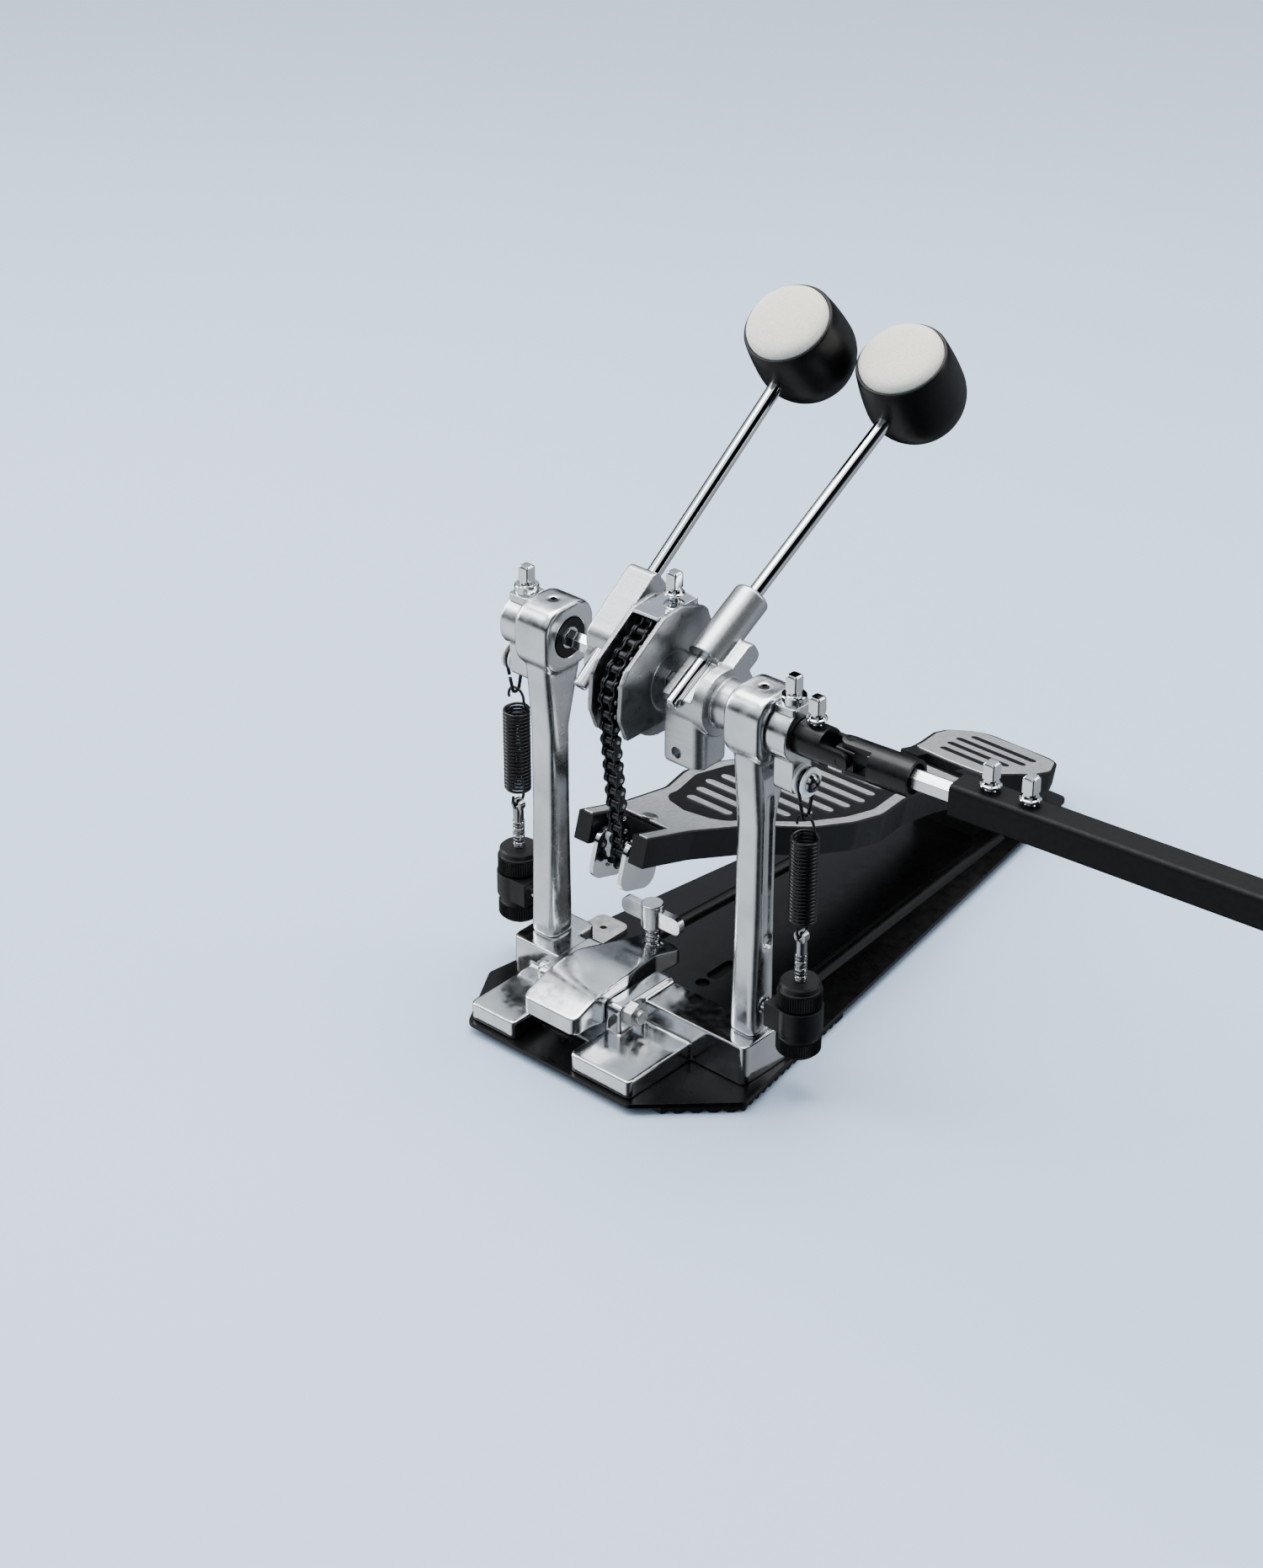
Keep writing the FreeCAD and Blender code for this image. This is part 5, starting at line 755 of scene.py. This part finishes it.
# %% Threads of the eye bolts and the wing bolt
THREAD_PITCH, THREAD_DEPTH = 1.0, 0.38
EYE_THREAD_RADIUS, EYE_THREAD_FOOT, EYE_NECK = 3.0, 1.0, 10.0
WING_THREAD_RADIUS, WING_THREAD_LOW, WING_THREAD_HIGH = 4.0, 11.0, 45.5


def thread(name, body, slot, x, y, low, high, radius):
    """A ridge wound round a shank between two heights."""
    length = high - low
    piece = grow(name, points_mesh([]), thread_tree, Radius=radius * MM, Depth=THREAD_DEPTH * MM,
                 Turns=length / THREAD_PITCH, Length=length * MM, Foot=(x * MM, y * MM, low * MM),
                 Material=nickel_steel)
    return settle(piece, body, slot)


for side in SIDES:
    eye = JOINT_AT[side + "_spring_swing"] / MM
    low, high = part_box(side + "_eye_bolt")
    thread(side + "_eye_thread", side + "_eye", "chrome", eye.x, eye.y, low.z / MM + EYE_THREAD_FOOT,
           eye.z - EYE_NECK, EYE_THREAD_RADIUS)
wing = JOINT_AT["wing_turn"] / MM
thread("wing_thread", "wing", "chrome", wing.x, wing.y, WING_THREAD_LOW, WING_THREAD_HIGH, WING_THREAD_RADIUS)
print("threads at a pitch of", THREAD_PITCH, "mm")

# %% Knurled nuts under the springs
NUT_RADIUS, NUT_BORE, RIDGE_COUNT, RIDGE_WIDTH, RIDGE_PROUD = 12.0, 3.1, 56, 0.85, 0.45
NECK_SHARE, NECK_STEP, NECK_EASE, FOOT_CHAMFER, HEAD_CHAMFER = 0.72, 0.5, 0.4, 1.2, 1.0
BAND_FOOT, BAND_HEAD = 1.6, 1.0


def knurled_nut(x, low, high):
    """A moulded nut: chamfered ends, a smooth neck and a band of ridges."""
    neck = low + NECK_SHARE * (high - low)
    rim = NUT_RADIUS - RIDGE_PROUD
    inner = rim - NECK_STEP
    drum = lathe([(NUT_BORE, low), (rim - FOOT_CHAMFER, low), (rim, low + FOOT_CHAMFER), (rim, neck),
                  (inner, neck + NECK_EASE), (inner, high - HEAD_CHAMFER), (inner - HEAD_CHAMFER, high),
                  (NUT_BORE, high)], RIDGE_COUNT, closed=True)
    band = neck - low - BAND_FOOT - BAND_HEAD
    middle = low + BAND_FOOT + band / 2
    return grow("nut", moved(drum, shift(x, 0, 0)), knurl_tree, Radius=rim * MM, Height=band * MM,
                Width=RIDGE_WIDTH * MM, Count=RIDGE_COUNT, Middle=(x * MM, 0, middle * MM),
                Material=nylon_black)


for side in SIDES:
    low, high = (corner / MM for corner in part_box(side + "_lower_nut"))
    nut = knurled_nut(JOINT_AT[side + "_spring_swing"].x / MM, low.z, high.z)
    nut.name = side + "_knurled_nut"
    stands_for(side + "_lower_nut", nut)
low, high = (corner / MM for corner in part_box("lock_nuts"))
pair = [knurled_nut(JOINT_AT[side + "_spring_swing"].x / MM, low.z, high.z) for side in SIDES]
stands_for("lock_nuts", new_object("knurled_lock_nuts", joined(*(nut.data for nut in pair))))
drop(*pair)
print("knurled nuts:", 2 * len(pair))

# %% [markdown]
# Drum-key bolts and screws. Each key bolt is turned, with a collar, a cone and a square head that the drum
# key fits. One bolt is modelled and a tree puts it on every seat of a body. The bushes are held by pan-head
# screws, whose cross recess is cut by a Boolean modifier.

# %% One key bolt and one screw
KEY_PROFILE = [(0, -1), (2.6, -1), (2.6, 2.4), (4.6, 2.45), (5.4, 2.7), (5.6, 3.2), (5.3, 3.8), (4.6, 4.1),
               (4.3, 4.6), (3.7, 6.2), (3.6, 6.8, 4.5), (3.45, 7.4, 4.5), (3.4, 13.9, 4.4), (3.2, 14.7, 4.1),
               (2.6, 15.4, 3.3), (0, 15.5)]
SCREW_PROFILE = [(0, -9), (2.5, -9), (2.5, 0), (4.9, 0), (5.2, 0.4), (5.1, 1.1), (4.7, 1.9), (4.0, 2.7),
                 (3.0, 3.3), (1.6, 3.7), (0, 3.8)]
KEY_THREAD_RADIUS, KEY_THREAD_DEPTH, KEY_THREAD_TURNS, KEY_THREAD_LENGTH = 2.7, 0.35, 3.0, 2.4
RECESS_LENGTH, RECESS_WIDTH, RECESS_DEPTH = 6.0, 1.3, 3.6
BOLT_SIDES = 40
shank = lathe(KEY_PROFILE, BOLT_SIDES)
key_bolt = grow("key_bolt", shank, thread_tree, Radius=KEY_THREAD_RADIUS * MM, Depth=KEY_THREAD_DEPTH * MM,
                Turns=KEY_THREAD_TURNS, Length=KEY_THREAD_LENGTH * MM, Foot=(0, 0, 0), Material=chrome_plate)


def crossed_screw():
    """A pan-head screw along Z with a cross recess."""
    screw = new_object("screw", lathe(SCREW_PROFILE))
    for i in range(2):
        work = bmesh.new()
        size = Matrix.Diagonal((RECESS_LENGTH * MM, RECESS_WIDTH * MM, RECESS_DEPTH * MM, 1))
        bmesh.ops.create_cube(work, size=1, matrix=shift(0, 0, RECESS_DEPTH) @ spin(90 * i, "Z") @ size)
        slot = new_object("slot", mesh_of(work, "slot"))
        cutter = screw.modifiers.new("slot", "BOOLEAN")
        cutter.operation = "DIFFERENCE"
        cutter.object = slot
        plain_mesh(screw)
        drop(slot)
    screw.data.materials.append(chrome_plate)
    smooth(screw.data)
    return screw


cross_screw = crossed_screw()
seat_tree, given = geometry_tree("bolts_on_seats", Bolt="Object")
shape = add(seat_tree, "GeometryNodeObjectInfo", {"Object": given["Bolt"]})
bolts = add(seat_tree, "GeometryNodeInstanceOnPoints", {"Points": given["Geometry"],
                                                        "Instance": shape.outputs["Geometry"]})
close_tree(seat_tree, given, bolts.outputs[0])
print("faces of a key bolt and a screw:", len(key_bolt.data.polygons), len(cross_screw.data.polygons))

# %% Seats, washers and grub screws
AXLE = JOINT_AT["main_drive"] / MM
LEVER_X, LEVER_SEAT, ANCHOR_BACK, ANCHOR_SEAT = 91.1, 17.0, 14.0, 38.4
BUSH_FACE, BUSH_DROP, CROSS_TURN = 103.8, 25.0, 30
YOKE_BOLT_X, YOKE_SEAT = 106.0, 10.0
TUBE_BOLTS, TUBE_SEAT, SHAFT_SWING = (80.0, 102.0), 9.0, 4.4
WASHER_PROFILE = [(0, 0), (6.4, 0), (6.7, 0.3), (6.7, 4.2), (6.3, 4.7), (0, 4.7)]
GRUB_CHAMFER, SOCKET_SHARE, SOCKET_DEPTH, GRUB_SIDES = 0.3, 0.55, 1.6, 18


def seated(points):
    """Key bolts that stand on seats, as a mesh."""
    made = grow("bolts", points_mesh([point * MM for point in points]), seat_tree, Bolt=key_bolt,
                Material=chrome_plate)
    mesh = made.data
    drop(made)
    return mesh


def bush_screw(side):
    """The screw of a bush. Its faces take the second material of the bolts."""
    mesh = moved(cross_screw.data, shift(side * BUSH_FACE, 0, AXLE.z - BUSH_DROP), spin(90 * side, "Y"),
                 spin(CROSS_TURN, "Z"))
    mesh.polygons.foreach_set("material_index", [1] * len(mesh.polygons))
    return mesh


def washer(seat):
    """The thick round washer under a lever's bolt."""
    return moved(lathe(WASHER_PROFILE, BOLT_SIDES), shift(*seat))


def set_screw(radius, length):
    """A grub screw along Z with a hollow end."""
    edge, bottom = radius - GRUB_CHAMFER, length - SOCKET_DEPTH
    socket = radius * SOCKET_SHARE
    return lathe([(0, 0), (edge, 0), (radius, GRUB_CHAMFER), (radius, length - GRUB_CHAMFER), (edge, length),
                  (socket, length), (socket, bottom), (0, bottom)], GRUB_SIDES)


# %% Bolts and screws of the two drives
MAIN_LEAN, SECOND_LEAN = 53, 60
HUB_SCREW, HUB_SCREW_AT = (2.5, 5), (-29, -6.5, 22.5)
FOOT_SCREW, FOOT_SCREW_AT, FOOT_SCREW_DROP = (3.0, 2.5), (28.5, -9), 29
hub_screw = moved(set_screw(*HUB_SCREW), shift(0, 0, AXLE.z), spin(-MAIN_LEAN, "X"), shift(*HUB_SCREW_AT),
                  spin(-90, "X"))
main_seats = [Vector((-LEVER_X, 0, AXLE.z + LEVER_SEAT)), Vector((0, ANCHOR_BACK, AXLE.z + ANCHOR_SEAT))]
main_bolts = joined(seated(main_seats), washer(main_seats[0]), bush_screw(-1), hub_screw)
stands_for("main_fasteners", new_object("main_bolts", main_bolts))
foot_screw = moved(set_screw(*FOOT_SCREW), shift(*FOOT_SCREW_AT, AXLE.z - FOOT_SCREW_DROP), spin(90, "X"))
second_seats = [Vector((LEVER_X, 0, AXLE.z + LEVER_SEAT)), Vector((YOKE_BOLT_X, 0, AXLE.z + YOKE_SEAT))]
second_bolts = joined(seated(second_seats), washer(second_seats[0]), bush_screw(1), foot_screw)
stands_for("second_fasteners", new_object("second_bolts", second_bolts))
for bolts in (main_bolts, second_bolts):
    bolts.materials.append(nickel_steel)
print("key bolts on the drives:", len(main_seats) + len(second_seats))

# %% Bolts of the shaft and grub screws of the posts
SET_RADIUS, SET_LENGTH, SET_PROUD = 2.3, 4.0, 0.05
CROSS = JOINT_AT["inner_pitch"] / MM
ALONG = Vector((math.cos(math.radians(SHAFT_SWING)), math.sin(math.radians(SHAFT_SWING)), 0))
tube_seats = [CROSS + ALONG * far + Vector((0, 0, TUBE_SEAT)) for far in TUBE_BOLTS]
stands_for("tube_key_bolts", new_object("tube_bolts", seated(tube_seats)))
head_tops = [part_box(side + "_post")[1] for side in SIDES]
post_middles = [sum(corner.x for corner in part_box(side + "_post")) / 2 / MM for side in SIDES]
grubs = [moved(set_screw(SET_RADIUS, SET_LENGTH), shift(x, 0, top.z / MM - SET_LENGTH + SET_PROUD))
         for x, top in zip(post_middles, head_tops)]
post_grubs = new_object("post_set_screws", joined(*grubs))
post_grubs.data.materials.append(black_oxide)
settle(post_grubs, "base", "black_steel")
drop(key_bolt, cross_screw)
print("key bolts on the shaft:", len(tube_seats), "grub screws in the posts:", len(grubs))

# %% [markdown]
# Beater heads. Each head is a moulded egg whose blunt end is a cup, and a disc of pressed felt sits in the
# cup behind a thin rim. Both are turned from a profile about the axis of the blow, then set on their
# leaning rod.

# %% Heads and felts
RIM_RADIUS, BELLY_RADIUS, FELT_RADIUS = 25.3, 27.5, 23.1
RIM_AT, BELLY_AT, SEAT_AT, FELT_AT = 21.6, -5.3, 13.6, 27.6
BEATER_X, EGG_STEPS, HEAD_SIDES = 29.0, 14, 64
CUP_CURVE, CUP_EDGE = 0.9, 1.0
back = [(BELLY_RADIUS * math.sin(turn), BELLY_AT - BELLY_RADIUS * math.cos(turn))
        for turn in (math.radians(90 * i / EGG_STEPS) for i in range(1, EGG_STEPS + 1))]
cup = [(RIM_RADIUS + (BELLY_RADIUS - RIM_RADIUS) * math.cos(math.pi / 2 * share) ** CUP_CURVE,
        BELLY_AT + (RIM_AT - CUP_EDGE - BELLY_AT) * share) for share in (0.25, 0.5, 0.75, 1.0)]
rim = [(RIM_RADIUS - 0.3, RIM_AT - 0.35), (RIM_RADIUS - 0.8, RIM_AT), (FELT_RADIUS + 0.6, RIM_AT),
       (FELT_RADIUS + 0.15, RIM_AT - 0.4), (FELT_RADIUS + 0.1, SEAT_AT)]
HEAD_PROFILE = [(0, BELLY_AT - BELLY_RADIUS)] + back + cup + rim + [(0, SEAT_AT)]
FELT_PROFILE = [(0, SEAT_AT + 0.1), (FELT_RADIUS, SEAT_AT + 0.1), (FELT_RADIUS, RIM_AT + 0.6),
                (22.7, RIM_AT + 2.2), (21.6, RIM_AT + 3.6), (19.5, RIM_AT + 4.7), (15, RIM_AT + 5.5),
                (8, RIM_AT + 5.9), (0, FELT_AT)]
# The side of each beater, how far its rod is before the axle, how high its head is on the rod, and its lean.
BEATERS = (("main", -1, 10.5, 196, MAIN_LEAN), ("second", 1, 12.5, 205, SECOND_LEAN))
for which, side, offset, height, lean in BEATERS:
    stand = shift(0, 0, AXLE.z) @ spin(-lean, "X") @ shift(side * BEATER_X, -offset, height) @ spin(90, "X")
    for part, profile, material in (("head", HEAD_PROFILE, head_plastic), ("felt", FELT_PROFILE, felt_wool)):
        mesh = moved(lathe(profile, HEAD_SIDES), stand)
        mesh.materials.append(material)
        stands_for(f"{which}_{part}", new_object(f"{which}_beater_{part}", mesh))
print("beaters:", len(BEATERS))

# %% [markdown]
# The footboard's top. The board is black, with a brushed sheet on top. The sheet follows the board's own
# outline, which is measured on the solid, a little inside its edge. A dark field lies on the sheet, and
# plain bright bars lie across the field, as wide as the board allows at each place. The heel plate has dark
# bars on a sheet of its own. A tree grows the bars from points that carry their widths.

# %% Measure the footboard and the heel plate
HINGE = JOINT_AT["footboard_hinge"]
BOARD_TOP, FACING_UP, LEVEL_WITHIN = 10.0, 0.5, 0.02
upper_faces = [face for face in frame["nodes"]["footboard"].data.polygons if face.normal.z > FACING_UP]
top_face = max(upper_faces, key=lambda face: face.area)
SLOPE = math.atan2(top_face.normal.y, top_face.normal.z)
BOARD = Matrix.Translation(HINGE) @ Matrix.Rotation(-SLOPE, 4, "X")


def edge_points(node):
    """Pairs of points, in millimetres in the board's own frame, along the rim of a node's top face."""
    mesh = frame["nodes"][node].data
    flat = BOARD.inverted()
    level = [flat @ vertex.co / MM for vertex in mesh.vertices]
    seen = {}
    for face in mesh.polygons:
        corners = [level[i] for i in face.vertices]
        if all(abs(corner.z - BOARD_TOP) < LEVEL_WITHIN for corner in corners):
            for i, corner in enumerate(corners):
                other = corners[i - 1]
                key = tuple(sorted((tuple(round(v, 2) for v in corner), tuple(round(v, 2) for v in other))))
                seen[key] = seen.get(key, 0) + 1
    return [key for key, count in seen.items() if count == 1]


def half_width(rim, y):
    """How far out the rim reaches at one place along the board."""
    reach = 0.0
    for (ax, ay, _), (bx, by, _) in rim:
        if min(ay, by) <= y <= max(ay, by) and ay != by:
            reach = max(reach, ax + (bx - ax) * (y - ay) / (by - ay))
    return reach


board_rim, heel_rim = edge_points("footboard"), edge_points("heel_plate")
print("slope in degrees:", round(math.degrees(SLOPE), 2))

# %% Helpers for sheets on the boards
SHEET_EASE, LEAST_HALF = 0.2, 0.3


def sheet_mesh(outline, low, high, material):
    """A thin plate on the board from an outline, with its upper edge eased."""
    work = bmesh.new()
    ease = min(SHEET_EASE, (high - low) / 2)
    middle = Vector([sum(values) / len(outline) for values in zip(*outline)])
    rings = []
    for z, inset in ((low, 0), (high - ease, 0), (high, ease)):
        ring = []
        for x, y in outline:
            inward = (middle - Vector((x, y))).normalized() * inset
            ring.append(work.verts.new(((x + inward.x) * MM, (y + inward.y) * MM, z * MM)))
        rings.append(ring)
    skin(work, rings)
    bmesh.ops.triangulate(work, faces=[face for face in work.faces if len(face.verts) > 4])
    mesh = mesh_of(work, "sheet")
    mesh.materials.append(material)
    return mesh


def strip_outline(rim, start, stop, inset, ends, count=48):
    """An outline inside a rim from one place to another, with rounded ends."""
    right = []
    for i in range(count + 1):
        y = start + (stop - start) * i / count
        near = min(y - start, stop - y)
        round_off = math.sqrt(max(0.0, 1 - (1 - near / ends) ** 2)) if near < ends else 1.0
        right.append((max(LEAST_HALF, (half_width(rim, y) - inset) * round_off), y))
    return right + [(-x, y) for x, y in reversed(right)]


def on_board(name, mesh, body, slot):
    mesh.transform(BOARD)
    return settle(new_object(name, mesh), body, slot)


# %% Sheets and field
SHEET_TOP, FIELD_TOP, BAR_TOP, SINK = BOARD_TOP + 0.5, BOARD_TOP + 0.75, BOARD_TOP + 1.15, 0.1
NOTCH_HALF, NOTCH_END, BOARD_FRONT, SHEET_INSET = 16.5, -272.5, -297.2, 2.2
SHEET_LENGTH, SHEET_STEPS = 285.0, 60
FIELD_FRONT, FIELD_BACK, FIELD_INSET, FIELD_ROUND = -240, -24, 8.5, 16
HEEL_FRONT, HEEL_BACK, HEEL_ROUND = 12.5, 89.5, 3
along = [BOARD_FRONT + SHEET_LENGTH * i / SHEET_STEPS for i in range(SHEET_STEPS + 1)]
body_right = [(half_width(board_rim, y) - SHEET_INSET, y) for y in along]
front_notch = [(-NOTCH_HALF, BOARD_FRONT), (-NOTCH_HALF, NOTCH_END), (NOTCH_HALF, NOTCH_END),
               (NOTCH_HALF, BOARD_FRONT)]
board_outline = front_notch + body_right + [(-x, y) for x, y in reversed(body_right)]
board_sheet = sheet_mesh(board_outline, BOARD_TOP, SHEET_TOP, brushed_sheet)
on_board("footboard_sheet", board_sheet, "board", "brushed_aluminium")
field_outline = strip_outline(board_rim, FIELD_FRONT, FIELD_BACK, FIELD_INSET, FIELD_ROUND)
board_field = sheet_mesh(field_outline, SHEET_TOP - SINK, FIELD_TOP, board_black)
on_board("footboard_field", board_field, "board", "black_plastic")
heel_outline = strip_outline(heel_rim, HEEL_FRONT, HEEL_BACK, SHEET_INSET, HEEL_ROUND)
heel_sheet = sheet_mesh(heel_outline, BOARD_TOP, SHEET_TOP, brushed_sheet)
on_board("heel_sheet", heel_sheet, "base", "brushed_aluminium")
print("points round the sheets:", len(board_outline), len(heel_outline))

# %% Bars across the boards
bar_tree, given = geometry_tree("bars_across", Bar="Object")
shape = add(bar_tree, "GeometryNodeObjectInfo", {"Object": given["Bar"]})
reach = add(bar_tree, "GeometryNodeInputNamedAttribute", {"Name": "reach"}, data_type="FLOAT")
widths = add(bar_tree, "ShaderNodeCombineXYZ", {0: reach.outputs[0], 1: 1.0, 2: 1.0})
bars = add(bar_tree, "GeometryNodeInstanceOnPoints",
           {"Points": given["Geometry"], "Instance": shape.outputs["Geometry"], "Scale": widths.outputs[0]})
close_tree(bar_tree, given, bars.outputs[0])

BAR_UNIT, BAR_HALF = 30.0, 3.0
BAR_COUNT, BAR_FIRST, BAR_STEP, BAR_INSET = 11, -218, 17, 17
HEEL_BARS, HEEL_BAR_INSET = (30, 44, 58, 72), 14
bar_outline = [(BAR_UNIT - BAR_HALF * (1 - math.cos(turn)), BAR_HALF * math.sin(turn))
               for turn in (math.radians(a) for a in range(-90, 91, 30))]
bar_outline += [(-x, -y) for x, y in bar_outline]


def bars_across(name, rim, places, inset, low, high, material, body, slot):
    """Bars that reach across a board at several places."""
    template = new_object("bar", sheet_mesh(bar_outline, low, high, material))
    line = points_mesh([(0, y * MM, 0) for y in places])
    widths = line.attributes.new("reach", "FLOAT", "POINT")
    for entry, y in zip(widths.data, places):
        entry.value = (half_width(rim, y) - inset) / BAR_UNIT
    piece = grow(name, line, bar_tree, Bar=template, Material=material)
    drop(template)
    piece.data.transform(BOARD)
    return settle(piece, body, slot)


bars_across("footboard_bars", board_rim, [BAR_FIRST + BAR_STEP * i for i in range(BAR_COUNT)], BAR_INSET,
            FIELD_TOP - SINK, BAR_TOP, brushed_sheet, "board", "brushed_aluminium")
bars_across("heel_bars", heel_rim, HEEL_BARS, HEEL_BAR_INSET, SHEET_TOP - SINK, FIELD_TOP, board_black,
            "base", "black_plastic")
print("bars on the footboard:", BAR_COUNT, "on the heel:", len(HEEL_BARS))

# %% [markdown]
# The studio. The picture was taken from the front right, well above the pedal, with a long lens. The floor
# is a wide pale sheet that runs out of sight. Three large soft lights stand round the pedal: a broad one
# overhead, one at the front left and a weak one at the back right.

# %% Floor and camera
REACH, PAPER_CLOUD, PAPER_ROUGH = 30.0, 900.0, 0.45
corners = [(-REACH, -REACH, 0), (REACH, -REACH, 0), (REACH, REACH, 0), (-REACH, REACH, 0)]
floor_mesh = bpy.data.meshes.new("studio_floor")
floor_mesh.from_pydata(corners, [], [(0, 1, 2, 3)])
floor = new_object("studio_floor", floor_mesh)
# Smooth paper, a pale blue that the lights turn to a cool light grey, with hardly any mottle.
paper, paper_tree, paper_shader, paper_place = surface("pale_studio_paper")
grained(paper_tree, paper_shader, mottled(paper_tree, paper_place, PAPER_CLOUD), "#bbd0e8", "#c0d4eb")
paper_shader.inputs["Roughness"].default_value = PAPER_ROUGH
floor_mesh.materials.append(paper)

PHOTO_WIDTH = 1500
FOCAL_PIXELS = 3850
SENSOR_MM = 36.0
CAMERA_AT, CAMERA_LOOKS = (0.96825, -1.10969, 1.01381), Vector((-0.5727, 0.6450, -0.5060))
camera_data = bpy.data.cameras.new("studio_camera")
camera_data.sensor_fit = "HORIZONTAL"
camera_data.sensor_width = SENSOR_MM
camera_data.lens = SENSOR_MM * FOCAL_PIXELS / PHOTO_WIDTH
camera = new_object("studio_camera", camera_data)
camera.location = CAMERA_AT
camera.rotation_euler = CAMERA_LOOKS.to_track_quat("-Z", "Y").to_euler()
bpy.context.scene.camera = camera
print("camera at", CAMERA_AT)

# %% Three soft lights
CENTRE = Vector((0.05, 0.05, 0.12))
SOFTBOXES = (("overhead_softbox", (-0.3, 0.3, 2.2), (2.2, 1.6), 90),
             ("left_softbox", (-2.0, -0.9, 1.2), (1.0, 1.8), 46),
             ("right_softbox", (1.7, 1.5, 1.3), (0.8, 1.8), 16))
for name, place, size, watts in SOFTBOXES:
    light = bpy.data.lights.new(name, "AREA")
    light.shape = "RECTANGLE"
    light.size, light.size_y = size
    light.energy = watts
    lamp = new_object(name, light)
    lamp.location = place
    lamp.rotation_euler = (CENTRE - Vector(place)).to_track_quat("-Z", "Y").to_euler()
print("softboxes:", len(SOFTBOXES))

# %% [markdown]
# What the metal mirrors. A polished post shows the room, not the lights alone, and a bare white floor in it
# would make it vanish against that floor. So the floor is kept out of mirror images, and the world gives
# the metal a room of its own: a bright wall at the front left, a dark one behind the camera, a grey one at
# the back right, and a sky that grows from a dark horizon to white. The dark wall and the horizon draw the
# dark bands on the posts, and a dark card beside the right softbox draws the dark line along the rods.

# %% The room in the metal
WALL_STOPS = ((0.0, "#9aa0a6"), (0.3, "#4a4e53"), (0.5, "#15171a"), (0.66, "#3a3e43"), (0.86, "#e4e9ee"))
SKY_STOPS = ((0.0, "#0b0d10"), (0.24, "#14171b"), (0.5, "#b3bbc4"), (0.8, "#f4f8fc"))
BRIGHT_SIDE = Vector((-0.66, -0.75, 0.0))
HORIZON_BLUR, ROOM_STRENGTH = 0.06, 1.5
CARD_SIDE, CARD_EDGE, CARD_INSIDE = Vector((0.833, -0.05, 0.552)), 0.87, 0.91
floor.visible_glossy = False
world = bpy.data.worlds.new("studio_world")
world.use_nodes = True
room = world.node_tree
direction = add(room, "ShaderNodeTexCoord").outputs["Generated"]
height = add(room, "ShaderNodeSeparateXYZ", {0: direction}).outputs["Z"]
facing = add(room, "ShaderNodeVectorMath", {0: direction, 1: BRIGHT_SIDE}, operation="DOT_PRODUCT")
round_room = add(room, "ShaderNodeMapRange", {"Value": facing.outputs["Value"], "From Min": -1.0})
above = add(room, "ShaderNodeMapRange",
            {"Value": height, "From Min": -HORIZON_BLUR, "From Max": HORIZON_BLUR})
shades = []
for value, stops in ((round_room.outputs[0], WALL_STOPS), (height, SKY_STOPS)):
    shade = add(room, "ShaderNodeValToRGB", {0: value})
    for i, (stop, colour) in enumerate(stops):
        entry = shade.color_ramp.elements[i] if i < 2 else shade.color_ramp.elements.new(stop)
        entry.position = stop
        entry.color = linear(colour)
    shades.append(shade.outputs["Color"])
walls, sky = shades
mirrored = add(room, "ShaderNodeMix", {0: above.outputs[0], 6: walls, 7: sky}, data_type="RGBA").outputs[2]
beside = add(room, "ShaderNodeVectorMath", {0: direction, 1: CARD_SIDE}, operation="DOT_PRODUCT")
card = add(room, "ShaderNodeMapRange",
           {"Value": beside.outputs["Value"], "From Min": CARD_EDGE, "From Max": CARD_INSIDE}).outputs[0]
carded = add(room, "ShaderNodeMix", {0: card, 6: mirrored, 7: linear("#07080a")}, data_type="RGBA").outputs[2]
seen = add(room, "ShaderNodeLightPath").outputs["Is Camera Ray"]
backdrop = add(room, "ShaderNodeMix", {0: seen, 6: carded, 7: linear("#aab3bd")}, data_type="RGBA").outputs[2]
room.links.new(backdrop, room.nodes["Background"].inputs["Color"])
room.nodes["Background"].inputs["Strength"].default_value = ROOM_STRENGTH
bpy.context.scene.world = world
print("room:", len(WALL_STOPS), "wall tones and", len(SKY_STOPS), "sky tones")
